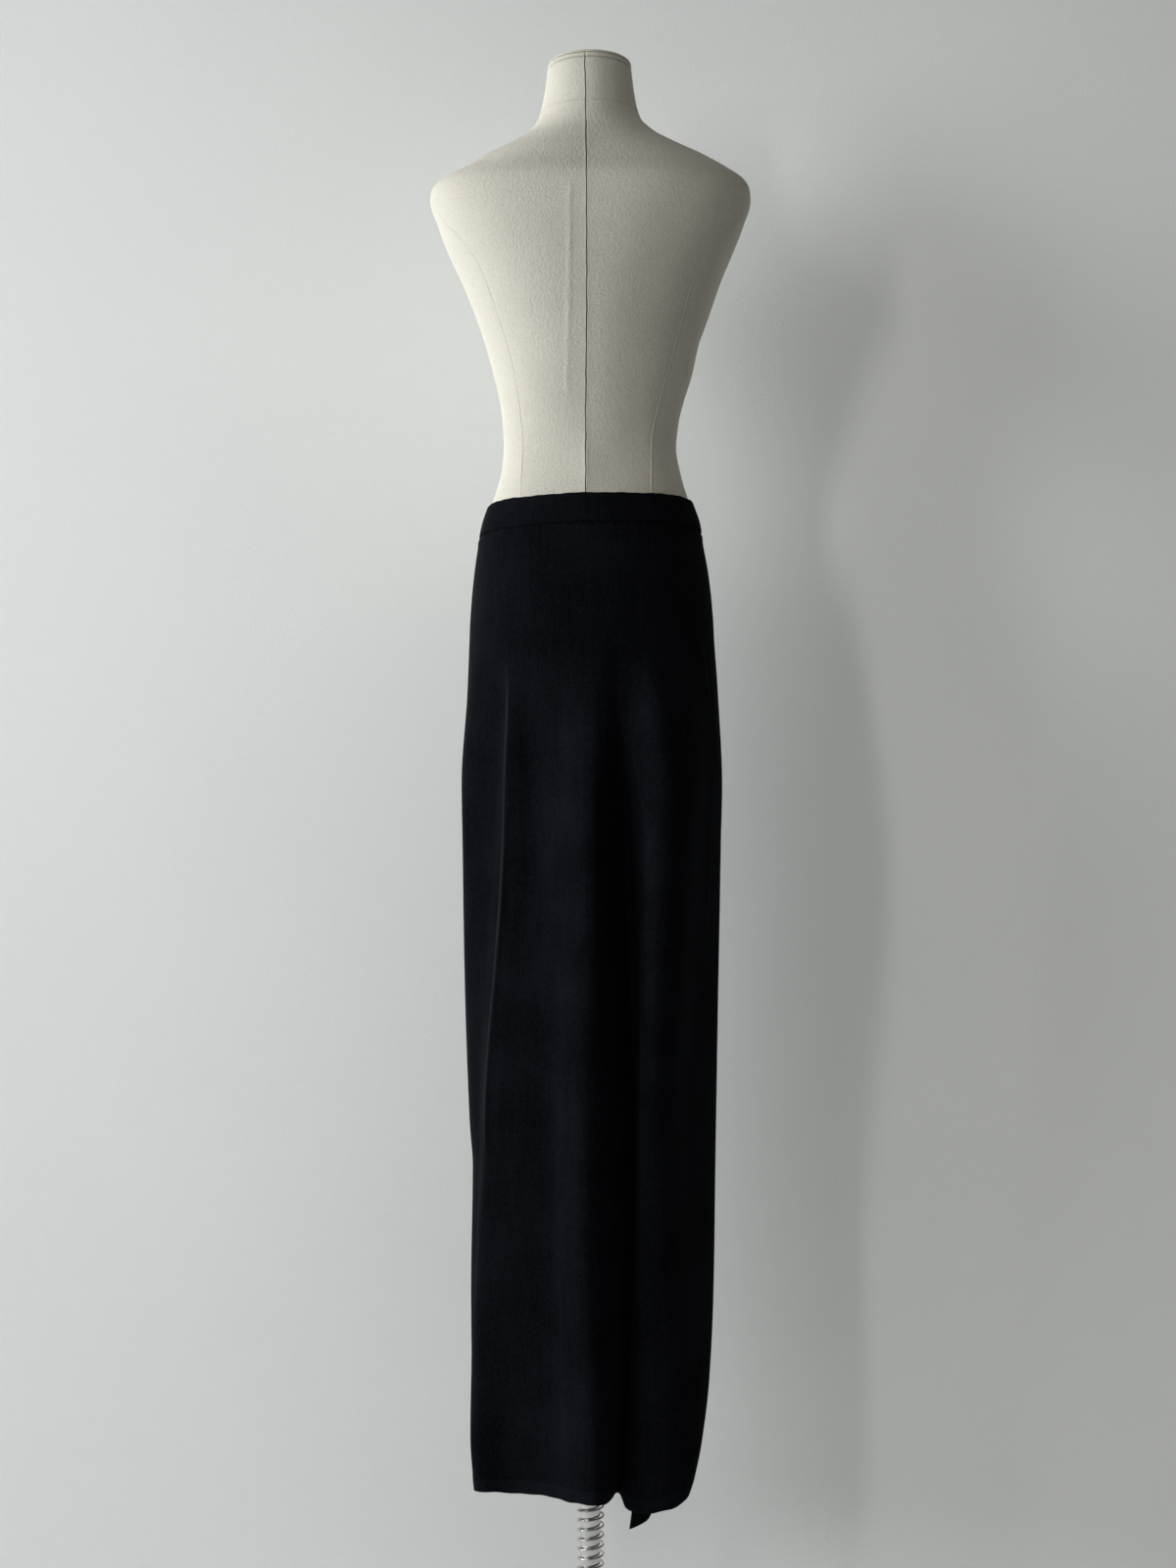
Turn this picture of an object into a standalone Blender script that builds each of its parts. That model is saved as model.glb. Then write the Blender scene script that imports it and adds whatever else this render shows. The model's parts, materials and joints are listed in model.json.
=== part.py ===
"""A black fine-knit maxi skirt on a limbless, canvas-covered dress form.

Metres, +Z up, origin on the floor under the pole.  The wearer's front is -Y, the back is +Y and
the wearer's left is +X.  The skirt is a waistband, a back panel, a front panel with a slit over
the right leg, and a hem band.  The form is a torso, a neck cap and a bottom board on a sprung pole.
"""
import math
from collections import namedtuple

import bmesh
import bpy
import numpy as np

# ---------------------------------------------------------------- cloth
PANEL_WALL = 0.0022        # jersey panels
BAND_WALL = 0.0032         # waistband, knitted double
HEM_WALL = 0.0023          # hem band
FIT_GAP = 0.0010           # between the form and the cloth that hugs it
SEAM_GAP = 0.0006          # between two pieces that are sewn together
HEM_GAP = 0.0021           # over the hem band, which slopes at the slit

BAND_TOP = 1.3735          # top edge of the waistband, over the pole
BAND_HEIGHT = 0.0360
BAND_TILT = 0.025          # the band rises towards the wearer's right
HIP_LINE = 1.220           # above it the skirt has the form's own shape
UNDER_SEAT = 1.150
SEAT_LINE = 1.105
THIGH_LINE = 0.980
KNEE_LINE = 0.660
SLIT_TOP = 0.630
HEM_LINE = 0.2520
HEM_BAND = 0.0160
SIDE_SQUARE = 2.2          # how square the hanging tube is; 2 is an ellipse
TAIL_REACH = (0.032, 0.058)   # how far the slit's corner swings inwards at the hem
TAIL_DROP = 0.051             # and how much lower it hangs
TAIL_SWING = 1.9              # radians of the sine by which it swings sideways
SLIT_CURVE = 1.5           # over 1 the slit opens slowly at first, going down
SLIT_FREE = 0.25           # share of the opening from which its two edges hang freely
CALM_HEIGHT = 0.1          # the tube is plain for this much over a fold's start

# Half widths and depths of the skirt's outer face from the hip down, from the pole's axis.
Outline = namedtuple("Outline", "name height left right back front")
OUTLINE = (
    Outline("under_seat", 1.150, 0.1422, 0.1478, 0.127, 0.110),
    Outline("fullest", 1.050, 0.1482, 0.1520, 0.128, 0.110),
    Outline("thigh", 0.980, 0.1470, 0.1500, 0.128, 0.110),
    Outline("over_knee", 0.840, 0.1445, 0.1470, 0.126, 0.108),
    Outline("knee", 0.660, 0.1385, 0.1440, 0.124, 0.106),
    Outline("below_knee", 0.610, 0.1350, 0.1430, 0.122, 0.105),
    Outline("calf", 0.476, 0.1365, 0.1400, 0.118, 0.102),
    Outline("low_calf", 0.376, 0.1355, 0.1345, 0.115, 0.100),
    Outline("ankle", 0.310, 0.1355, 0.1262, 0.112, 0.098),
    Outline("over_hem", 0.270, 0.1330, 0.1175, 0.110, 0.097),
    Outline("hem", 0.235, 0.1290, 0.1040, 0.110, 0.096),
)

# Folds, going round from the slit over the front, the left side, the back and the right side.
# turn: degrees round from the centre back towards the wearer's left.  starts: the height where
# the fold leaves the plain tube.  seat, thigh, knee, hem: where its line passes (x, y).  drop: how
# far the hem hangs under HEM_LINE there.  crisp: 0 is a round fold, 1 is a crease.
Fold = namedtuple("Fold", "name turn starts seat thigh knee hem drop crisp")
FOLDS = (
    Fold("slit", 220, 1.1,
         (-0.1006, -0.0863), (-0.094, -0.086), (-0.089, -0.084), (-0.074, -0.074), 0.004, 0.2),
    Fold("front_right_crest", 200, 1.14,
         (-0.0562, -0.1045), (-0.052, -0.11), (-0.046, -0.113), (-0.036, -0.104), 0, 0.0),
    Fold("front_hollow", 182, 1.12,
         (-0.0071, -0.1097), (-0.006, -0.1), (-0.004, -0.09), (0.0, -0.08), 0, 0.0),
    Fold("front_left_crest", 160, 1.14,
         (0.0537, -0.1049), (0.046, -0.113), (0.048, -0.116), (0.046, -0.108), 0, 0.1),
    Fold("front_left_hollow", 138, 1.08,
         (0.1009, -0.084), (0.092, -0.084), (0.088, -0.072), (0.086, -0.062), 0, 0.0),
    Fold("front_left", 115, 1.1,
         (0.1329, -0.0503), (0.128, -0.054), (0.122, -0.056), (0.118, -0.046), 0, 0.0),
    Fold("left_seam", 93, 1.16,
         (0.1452, -0.008), (0.147, -0.01), (0.138, -0.012), (0.13, -0.01), 0, 0.0),
    Fold("left_bulge", 72, 1.16,
         (0.1399, 0.042), (0.145, 0.034), (0.134, 0.024), (0.131, 0.014), 0, 0.0),
    Fold("left_groove", 50, 1.205,
         (0.1026, 0.0773), (0.1125, 0.0595), (0.1266, 0.0461), (0.133, 0.0295), 0, 0.0),
    Fold("left_ridge", 39, 1.212,
         (0.0917, 0.0998), (0.098, 0.0864), (0.1167, 0.0776), (0.129, 0.0435), 0, 0.8),
    Fold("left_hollow", 27, 1.212,
         (0.0676, 0.1038), (0.0618, 0.0928), (0.083, 0.0907), (0.092, 0.046), 0, 0.0),
    Fold("back_slope", 13, 1.21,
         (0.0345, 0.1149), (0.0398, 0.1067), (0.0434, 0.0993), (0.043, 0.067), 0, 0.0),
    Fold("crest_left", 4, 1.21,
         (0.0166, 0.1256), (0.0133, 0.1313), (0.0265, 0.1173), (0.0185, 0.094), 0, 0.0),
    Fold("back_crest", -2, 1.21,
         (-0.002, 0.132), (-0.0016, 0.1361), (0.0038, 0.1289), (-0.007, 0.106), 0, 0.0),
    Fold("crest_right", -6, 1.212,
         (-0.0163, 0.129), (-0.0114, 0.1294), (-0.0192, 0.1142), (-0.02, 0.085), 0, 0.0),
    Fold("valley", -10, 1.215,
         (-0.033, 0.1182), (-0.0386, 0.0926), (-0.0474, 0.0667), (-0.029, 0.044), 0, 0.4),
    Fold("lobe_lip", -17, 1.215,
         (-0.0484, 0.125), (-0.0632, 0.1295), (-0.0551, 0.1016), (-0.0375, 0.0625), 0.013, 0.0),
    Fold("right_crest", -25, 1.215,
         (-0.0776, 0.1355), (-0.0838, 0.1365), (-0.0685, 0.1122), (-0.056, 0.0735), 0.0168, 0.0),
    Fold("right_line", -35, 1.21,
         (-0.1045, 0.1215), (-0.104, 0.1253), (-0.0857, 0.1045), (-0.078, 0.0755), 0.0124, 0.4),
    Fold("right_flank", -55, 1.205,
         (-0.1317, 0.0795), (-0.1289, 0.0727), (-0.111, 0.0672), (-0.098, 0.065), 0.0053, 0.0),
    Fold("right_edge", -76, 1.16,
         (-0.1469, 0.0329), (-0.149, 0.024), (-0.143, 0.018), (-0.105, 0.04), 0, 0.2),
    Fold("right_seam", -93, 1.16,
         (-0.15, -0.0083), (-0.149, -0.012), (-0.142, -0.016), (-0.1, 0.0), 0.004, 0.0),
    Fold("front_right", -116, 1.12,
         (-0.1362, -0.0521), (-0.13, -0.055), (-0.124, -0.056), (-0.09, -0.04), 0.019, 0.0),
    Fold("slit_curl", -126, 1.11,
         (-0.1239, -0.0679), (-0.1164, -0.0691), (-0.1107, -0.0685), (-0.0828, -0.0702), 0.0136, 0.0),
    Fold("slit_side", -134, 1.10,
         (-0.1114, -0.0790), (-0.1041, -0.0789), (-0.0988, -0.0771), (-0.0856, -0.0744), 0.009, 0.0),
)
TAIL_SHARE = {"slit_curl": 0.4, "slit_side": 0.8}   # how far these follow the slit's corner
RING_SAMPLES = 1080        # fine samples round a ring; each fold's line is on one of them
TURN_SLACK = 1e-6
COLUMN_WIDTH = {"front_main": 0.0160, "back": 0.0110, "front_side": 0.0100}   # at the knee
ROWS_OVER_SLIT = 8
ROWS_UNDER_SLIT = 6
ROW_MIN = 0.005            # no panel row is nearer than this to the waistband's seam
BAND_ROWS = 3
BAND_COLUMNS = 64
WELD = 1e-6

# ---------------------------------------------------------------- dress form
# Half widths and depths of the torso from the pole's axis.  square: 2 is an ellipse.
Body = namedtuple("Body", "name height left right back front square")
BODY = (
    Body("underside", 1.120, 0.1230, 0.1250, 0.100, 0.088, 2.2),
    Body("under_seat", 1.150, 0.1320, 0.1345, 0.114, 0.097, 2.2),
    Body("seat", 1.190, 0.1362, 0.1395, 0.1235, 0.105, 2.2),
    Body("hip", 1.220, 0.1364, 0.1398, 0.1245, 0.107, 2.2),
    Body("high_hip", 1.255, 0.1348, 0.1378, 0.1215, 0.108, 2.2),
    Body("belly", 1.290, 0.1318, 0.1340, 0.1135, 0.108, 2.2),
    Body("low_belly", 1.325, 0.1270, 0.1279, 0.1025, 0.106, 2.2),
    Body("band", 1.348, 0.1222, 0.1238, 0.093, 0.103, 2.2),
    Body("band_top", 1.378, 0.1130, 0.1142, 0.0805, 0.098, 2.2),
    Body("low_waist", 1.410, 0.1040, 0.1050, 0.0715, 0.0945, 2.2),
    Body("waist", 1.441, 0.1010, 0.0998, 0.068, 0.093, 2.2),
    Body("over_waist", 1.469, 0.1023, 0.1026, 0.070, 0.094, 2.2),
    Body("rib", 1.497, 0.1058, 0.1092, 0.076, 0.098, 2.2),
    Body("high_rib", 1.525, 0.1123, 0.1180, 0.083, 0.104, 2.2),
    Body("under_bust", 1.561, 0.1222, 0.1264, 0.090, 0.113, 2.2),
    Body("chest", 1.597, 0.1343, 0.1383, 0.096, 0.121, 2.3),
    Body("bust", 1.637, 0.1502, 0.1520, 0.1010, 0.124, 2.4),
    Body("underarm", 1.681, 0.1698, 0.1702, 0.1025, 0.117, 2.55),
    Body("arm_plate", 1.709, 0.1802, 0.1808, 0.1005, 0.107, 2.6),
    Body("shoulder_end", 1.731, 0.1876, 0.1876, 0.0965, 0.096, 2.55),
    Body("shoulder_tip", 1.742, 0.1858, 0.1870, 0.0935, 0.090, 2.5),
    Body("shoulder", 1.751, 0.1765, 0.1830, 0.0903, 0.085, 2.45),
    Body("mid_shoulder", 1.762, 0.1570, 0.1685, 0.0857, 0.078, 2.38),
    Body("slope", 1.779, 0.1310, 0.1405, 0.0778, 0.068, 2.27),
    Body("neck_slope", 1.795, 0.1000, 0.1075, 0.0695, 0.059, 2.15),
    Body("neck_root", 1.811, 0.0745, 0.0790, 0.0605, 0.053, 2.05),
    Body("low_neck", 1.830, 0.0616, 0.0600, 0.0525, 0.052, 2.0),
    Body("mid_neck", 1.856, 0.0547, 0.0525, 0.045, 0.056, 2.0),
    Body("neck", 1.880, 0.0512, 0.0492, 0.038, 0.061, 2.0),
    Body("neck_top", 1.891, 0.0496, 0.0480, 0.035, 0.063, 2.0),
)
BODY_COLUMNS = 40
NECK_SLANT = 0.17          # the neck's top is higher at the back
SLANT_STARTS = 1.830       # height where the rings begin to slant
CAP_RISE = 0.0099          # height of the neck cap's dome over its rim
CAP_RIM = 0.0013
CAP_RINGS = 3
CAP_FLAT = 12              # degrees of the dome, from its middle, that are flat
SHARP_ANGLE = 50           # edges of the form turned by more than this stay crisp
BOARD_THICK = 0.012
BOARD_INSET = 0.012        # the bottom board is this much smaller than the torso
PART_GAP = 0.0004          # between hard pieces that meet

# ---------------------------------------------------------------- stand
BASE_RADIUS = 0.200
BASE_THICK = 0.008
BASE_CHAMFER = 0.002
HUB_RADIUS = 0.030
HUB_TOP_RADIUS = 0.021
HUB_HEIGHT = 0.0941
HUB_FOOT = 0.012           # height of its wide foot
HUB_TAPER = 0.030          # height where it has narrowed
HUB_CHAMFER = 0.002
POLE_RADIUS = 0.0112
POLE_BORE_GAP = 0.0004
COLLAR_RADIUS = 0.0195
COLLAR_HEIGHT = 0.014
SPRING_RADIUS = 0.0146     # to the middle of the wire
SPRING_WIRE = 0.0011
SPRING_PITCH = 0.0107
SPRING_TURNS = 22
SPRING_STEPS = 8           # points in each turn
ROUND_STEPS = 28

# ---------------------------------------------------------------- finishes
Finish = namedtuple("Finish", "name colour roughness metallic")
FINISHES = (
    Finish("black_knit", (0.0065, 0.0068, 0.0080), 0.85, 0.0),
    Finish("black_rib", (0.0075, 0.0078, 0.0090), 0.85, 0.0),
    Finish("cream_canvas", (0.640, 0.610, 0.520), 0.80, 0.0),
    Finish("cap_canvas", (0.600, 0.570, 0.485), 0.80, 0.0),
    Finish("board", (0.160, 0.110, 0.070), 0.70, 0.0),
    Finish("chrome", (0.780, 0.780, 0.770), 0.12, 1.0),
    Finish("spring_steel", (0.620, 0.620, 0.610), 0.20, 1.0),
    Finish("base_metal", (0.520, 0.520, 0.510), 0.35, 1.0),
)


def remove_old_objects():
    """Empty the file without closing it."""
    for old in list(bpy.data.objects):
        bpy.data.objects.remove(old, do_unlink=True)


def principled(row):
    """A plain Principled material from one row of the finishes."""
    made = bpy.data.materials.new(row.name)
    made.use_nodes = True
    shader = made.node_tree.nodes["Principled BSDF"]
    shader.inputs["Base Color"].default_value = (*row.colour, 1.0)
    shader.inputs["Roughness"].default_value = row.roughness
    shader.inputs["Metallic"].default_value = row.metallic
    made.diffuse_color = (*row.colour, 1.0)
    return made


def place(name, data, collection, material):
    """Put a mesh or a curve in the collection as one named sub-part."""
    made = bpy.data.objects.new(name, data)
    collection.objects.link(made)
    data.materials.append(material)
    return made


def curve_through(knots, values, at):
    """Smooth curve through a table, with no overshoot, read at one value or at many."""
    knots = np.asarray(knots, dtype=float)
    values = np.asarray(values, dtype=float)
    at = np.clip(at, knots[0], knots[-1])
    step = np.diff(knots)
    rise = np.diff(values) / step
    slope = np.zeros_like(values)
    slope[0] = rise[0]
    slope[-1] = rise[-1]
    for i in range(1, len(knots) - 1):
        if rise[i - 1] * rise[i] > 0:
            near = 2 * step[i] + step[i - 1]
            far = step[i] + 2 * step[i - 1]
            slope[i] = (near + far) / (near / rise[i - 1] + far / rise[i])
    i = np.clip(np.searchsorted(knots, at, side="right") - 1, 0, len(step) - 1)
    u = (at - knots[i]) / step[i]
    return hermite(u, values[i], values[i + 1], slope[i] * step[i], slope[i + 1] * step[i])


def hermite(u, start, end, start_slope, end_slope):
    """Cubic from start to end with the given slopes at u = 0 and u = 1."""
    rising = u * u * (3 - 2 * u)
    return (start * (1 - rising) + end * rising
            + start_slope * u * (1 - u) ** 2 - end_slope * u * u * (1 - u))


def section(turn, left, right, back, front, square):
    """Points of a closed section; turn is in degrees from the centre back towards the left."""
    angle = np.radians(np.asarray(turn, dtype=float))
    power = 2.0 / square
    across = np.sign(np.sin(angle)) * np.abs(np.sin(angle)) ** power
    along = np.sign(np.cos(angle)) * np.abs(np.cos(angle)) ** power
    x = across * np.where(across > 0, left, right)
    y = along * np.where(along > 0, back, front)
    return np.stack([x, y], axis=-1)


def table_sizes(rows, columns, height):
    """The named columns of a table at one height or at many."""
    ordered = sorted(rows, key=lambda row: row.height)
    knots = [row.height for row in ordered]
    return [curve_through(knots, [getattr(row, column) for row in ordered], height)
            for column in columns]


def body_section(turn, height, ease=0.0):
    """Points round the torso at a height, moved out by the ease."""
    left, right, back, front, square = table_sizes(
        BODY, ("left", "right", "back", "front", "square"), height)
    return section(turn, left + ease, right + ease, back + ease, front + ease, square)


def tilted(turn, level, ease, fade=1.0):
    """Points on the hips along a line that rises towards the wearer's right: x, y and height."""
    across = body_section(turn, level, ease)[..., 0]
    height = level - BAND_TILT * fade * across
    return np.column_stack([body_section(turn, height, ease), height])


def skirt_tube(turn, height):
    """Points round the skirt's outer face at a height, before its folds: x, y and height."""
    turn = np.asarray(turn, dtype=float)
    ease = PANEL_WALL + FIT_GAP
    if height >= HIP_LINE:
        fade = np.clip((height - HIP_LINE) / (BAND_TOP - BAND_HEIGHT - HIP_LINE), 0, 1)
        return tilted(turn, height, ease, fade)
    hips = [row for row in BODY if HIP_LINE <= row.height < BAND_TOP - BAND_HEIGHT]
    upper = [Outline(row.name, row.height, row.left + ease, row.right + ease,
                     row.back + ease, row.front + ease) for row in hips]
    left, right, back, front = table_sizes(
        list(OUTLINE) + upper, ("left", "right", "back", "front"), height)
    flat = section(turn, left, right, back, front, SIDE_SQUARE)
    return np.column_stack([flat, np.full(len(turn), height)])


def slit_opening(height):
    """0 at the slit's top and above it, 1 at the hem."""
    share = float(np.clip((SLIT_TOP - height) / (SLIT_TOP - HEM_LINE), 0.0, 1.0))
    return share ** SLIT_CURVE


def fold_push(fold, height):
    """How far a fold's line lies from the plain tube at a height: x, y, and down."""
    if height >= fold.starts:
        return np.zeros(3)
    lines = ((HEM_LINE, fold.hem), (KNEE_LINE, fold.knee), (THIGH_LINE, fold.thigh),
             (SEAT_LINE, fold.seat))
    knots = [level for level, _ in lines] + [fold.starts, fold.starts + CALM_HEIGHT]
    pushes = [np.array(passes) - skirt_tube([fold.turn], level)[0, :2] for level, passes in lines]
    pushes += [np.zeros(2), np.zeros(2)]
    x = curve_through(knots, [push[0] for push in pushes], height)
    y = curve_through(knots, [push[1] for push in pushes], height)
    return np.array([x, y, fold.drop * slit_opening(height)])


def ring(height):
    """The skirt's outer face at a height, from the slit's left edge round to its right edge."""
    turns = [fold.turn for fold in FOLDS] + [FOLDS[0].turn - 360]
    opened = slit_opening(height)
    swing = math.sin(TAIL_SWING * opened ** (1 / SLIT_CURVE)) / math.sin(TAIL_SWING)
    tail = np.array([TAIL_REACH[0] * swing, TAIL_REACH[1] * opened, TAIL_DROP * opened])
    pushes = [fold_push(fold, height) + tail * TAIL_SHARE.get(fold.name, 0.0) for fold in FOLDS]
    pushes.append(pushes[0] + tail)
    crisp = [fold.crisp for fold in FOLDS] + [FOLDS[0].crisp]

    count = len(turns)
    slopes = np.zeros((count, 3))
    for i in range(1, count - 1):
        slopes[i] = (pushes[i + 1] - pushes[i - 1]) / (turns[i + 1] - turns[i - 1])
    joined = (pushes[1] - pushes[-2]) / (turns[1] - turns[-2] - 360)
    free_left = (pushes[1] - pushes[0]) / (turns[1] - turns[0])
    free_right = (pushes[-1] - pushes[-2]) / (turns[-1] - turns[-2])
    free = min(1.0, opened / SLIT_FREE)
    slopes[0] = joined * (1 - free) + free_left * free
    slopes[-1] = joined * (1 - free) + free_right * free
    slopes *= (1 - np.array(crisp))[:, None]

    samples = np.linspace(turns[0], turns[-1], RING_SAMPLES + 1)
    push = np.zeros((len(samples), 3))
    for i in range(count - 1):
        here = (samples <= turns[i]) & (samples >= turns[i + 1])
        span = turns[i + 1] - turns[i]
        u = ((samples[here] - turns[i]) / span)[:, None]
        push[here] = hermite(u, pushes[i], pushes[i + 1], slopes[i] * span, slopes[i + 1] * span)

    tube = skirt_tube(samples, height)
    points = tube + push * (1, 1, -1)
    if height < HIP_LINE:
        points[:, 0] *= np.where(points[:, 0] > 0, tube[:, 0].max() / points[:, 0].max(),
                                 tube[:, 0].min() / points[:, 0].min())
    return samples, points


def stretches(first, last, width):
    """Each stretch between two fold lines, from first to last: its two turns and its columns."""
    turns, points = ring(KNEE_LINE)
    lengths = np.linalg.norm(np.diff(points[:, :2], axis=0), axis=1)
    along = np.concatenate([[0.0], np.cumsum(lengths)])
    lines = [fold.turn for fold in FOLDS] + [FOLDS[0].turn - 360]
    lines = [turn for turn in lines if last <= turn <= first]
    found = []
    for start, end in zip(lines, lines[1:]):
        length = np.interp(-end, -turns, along) - np.interp(-start, -turns, along)
        found.append((start, end, max(1, round(length / width))))
    return found


def spread(height, found, trims=(0.0, 0.0)):
    """Points of a ring along some stretches, evenly spaced in each, trimmed at the two ends."""
    turns, points = ring(height)
    parts = []
    for k, (start, end, columns) in enumerate(found):
        inside = (turns <= start + TURN_SLACK) & (turns >= end - TURN_SLACK)
        stretch = points[inside]
        lengths = np.linalg.norm(np.diff(stretch[:, :2], axis=0), axis=1)
        along = np.concatenate([[0.0], np.cumsum(lengths)])
        low = trims[0] if k == 0 else 0.0
        high = trims[1] if k == len(found) - 1 else 0.0
        wanted = np.linspace(low, along[-1] - high, columns + 1)
        part = [np.interp(wanted, along, stretch[:, axis]) for axis in range(3)]
        parts.append(np.column_stack(part)[min(k, 1):])
    return np.concatenate(parts)


def fold_turn(name):
    """The turn of a named fold."""
    return next(fold.turn for fold in FOLDS if fold.name == name)


def panel_spans():
    """Each panel of cloth between two seams or slit edges: its stretches and its end trims."""
    slit = fold_turn("slit")
    left = fold_turn("left_seam")
    right = fold_turn("right_seam")
    trim = SEAM_GAP / 2
    return {
        "front_main": (stretches(slit, left, COLUMN_WIDTH["front_main"]), (0.0, trim)),
        "back": (stretches(left, right, COLUMN_WIDTH["back"]), (trim, trim)),
        "front_side": (stretches(right, slit - 360, COLUMN_WIDTH["front_side"]), (trim, 0.0)),
    }


def panel_heights():
    """Row heights of the panels, from under the waistband to over the hem band."""
    top = BAND_TOP - BAND_HEIGHT - SEAM_GAP
    on_form = [row.height for row in reversed(BODY) if UNDER_SEAT <= row.height < top - ROW_MIN]
    over_slit = np.linspace(UNDER_SEAT, SLIT_TOP, ROWS_OVER_SLIT + 1)
    under_slit = np.linspace(SLIT_TOP, HEM_LINE + HEM_BAND, ROWS_UNDER_SLIT + 1)
    return [top] + on_form + list(over_slit[1:]) + list(under_slit[1:])


def add_grid(mesh, rows, closed=False):
    """Add rows of points as one sheet whose faces point outwards; rows run downwards."""
    made = [[mesh.verts.new(point) for point in row] for row in rows]
    for upper, lower in zip(made, made[1:]):
        columns = len(upper) if closed else len(upper) - 1
        for c in range(columns):
            after = (c + 1) % len(upper)
            mesh.faces.new((upper[c], lower[c], lower[after], upper[after]))
    return made


def cloth_sheet(name, grids, wall, collection, material, closed=False):
    """An open sheet on the cloth's outer face, thickened inwards to its wall."""
    mesh = bmesh.new()
    for rows in grids:
        add_grid(mesh, rows, closed)
    bmesh.ops.remove_doubles(mesh, verts=mesh.verts, dist=WELD)
    data = bpy.data.meshes.new(name)
    mesh.to_mesh(data)
    mesh.free()
    data.shade_smooth()
    sheet = place(name, data, collection, material)
    thick = sheet.modifiers.new("wall", "SOLIDIFY")
    thick.thickness = wall
    thick.offset = -1.0
    return sheet


def make_panels(collection, knit):
    """Back panel and front panel; the front one is slit from the hem up to SLIT_TOP."""
    heights = panel_heights()
    grids = {}
    for name, (found, trims) in panel_spans().items():
        grids[name] = [spread(height, found, trims) for height in heights]
    cloth_sheet("back_panel", [grids["back"]], PANEL_WALL, collection, knit)
    front = [grids["front_main"], grids["front_side"]]
    cloth_sheet("front_panel", front, PANEL_WALL, collection, knit)


def make_hem_band(collection, rib):
    """One strip round the hem, from the slit's left edge to its right edge."""
    heights = np.linspace(HEM_LINE + HEM_BAND - HEM_GAP, HEM_LINE, 3)
    found = [stretch for panel, _ in panel_spans().values() for stretch in panel]
    rows = [spread(height, found) for height in heights]
    cloth_sheet("hem_band", [rows], HEM_WALL, collection, rib)


def make_waistband(collection, rib):
    """A closed band round the top, tilted with the skirt."""
    turns = np.linspace(180, -180, BAND_COLUMNS, endpoint=False)
    levels = np.linspace(BAND_TOP, BAND_TOP - BAND_HEIGHT, BAND_ROWS + 1)
    rows = [tilted(turns, level, BAND_WALL + FIT_GAP) for level in levels]
    cloth_sheet("waistband", [rows], BAND_WALL, collection, rib, closed=True)


def slanted(flat, height, rise=0.0):
    """Lift a neck ring's back and lower its front."""
    share = np.clip((height - SLANT_STARTS) / (BODY[-1].height - SLANT_STARTS), 0.0, 1.0)
    middle = (BODY[-1].back - BODY[-1].front) / 2
    lift = NECK_SLANT * share * (flat[:, 1] - middle)
    return np.column_stack([flat, height + rise + lift])


def closed_loft(name, rows, collection, material):
    """Rings from top to bottom as one closed solid with flat ends."""
    mesh = bmesh.new()
    made = add_grid(mesh, rows, closed=True)
    mesh.faces.new(made[0])
    mesh.faces.new(list(reversed(made[-1])))
    data = bpy.data.meshes.new(name)
    mesh.to_mesh(data)
    mesh.free()
    data.shade_smooth()
    data.set_sharp_from_angle(angle=math.radians(SHARP_ANGLE))
    return place(name, data, collection, material)


def make_torso(collection, canvas):
    """The body of the form, flat underneath, open neck covered by its cap."""
    turns = np.linspace(180, -180, BODY_COLUMNS, endpoint=False)
    rows = []
    for row in reversed(BODY):
        rows.append(slanted(body_section(turns, row.height), row.height))
    closed_loft("torso", rows, collection, canvas)


def make_neck_cap(collection, canvas):
    """A low padded cap on the slanted top of the neck."""
    turns = np.linspace(180, -180, BODY_COLUMNS, endpoint=False)
    top = BODY[-1].height
    outline = body_section(turns, top)
    middle = np.array([(BODY[-1].left - BODY[-1].right) / 2, (BODY[-1].back - BODY[-1].front) / 2])
    rows = []
    for i in range(CAP_RINGS + 1):
        angle = math.radians(CAP_FLAT + (90 - CAP_FLAT) * i / CAP_RINGS)
        flat = middle + (outline - middle) * math.sin(angle)
        rows.append(slanted(flat, top, PART_GAP + CAP_RIM + CAP_RISE * math.cos(angle)))
    rows.append(slanted(outline, top, PART_GAP))
    closed_loft("neck_cap", rows, collection, canvas)


def make_form_board(collection, wood):
    """The board that closes the torso underneath and takes the pole."""
    turns = np.linspace(180, -180, BODY_COLUMNS, endpoint=False)
    top = BODY[0].height - PART_GAP
    outline = body_section(turns, BODY[0].height, -BOARD_INSET)
    rows = [np.column_stack([outline, np.full(len(turns), level)])
            for level in (top, top - BOARD_THICK)]
    closed_loft("form_board", rows, collection, wood)


def turned(name, profile, collection, material):
    """A piece turned on the pole's axis: its profile runs down its outer side, top to bottom."""
    data = bpy.data.meshes.new(name)
    points = [(radius, 0.0, height) for radius, height in profile]
    edges = [(i, i + 1) for i in range(len(points) - 1)]
    data.from_pydata(points, edges, [])
    made = place(name, data, collection, material)
    spin = made.modifiers.new("turn", "SCREW")
    spin.angle = math.tau
    spin.steps = ROUND_STEPS
    spin.render_steps = ROUND_STEPS
    spin.use_merge_vertices = True
    spin.merge_threshold = 0.0001
    spin.use_smooth_shade = True
    return made


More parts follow.
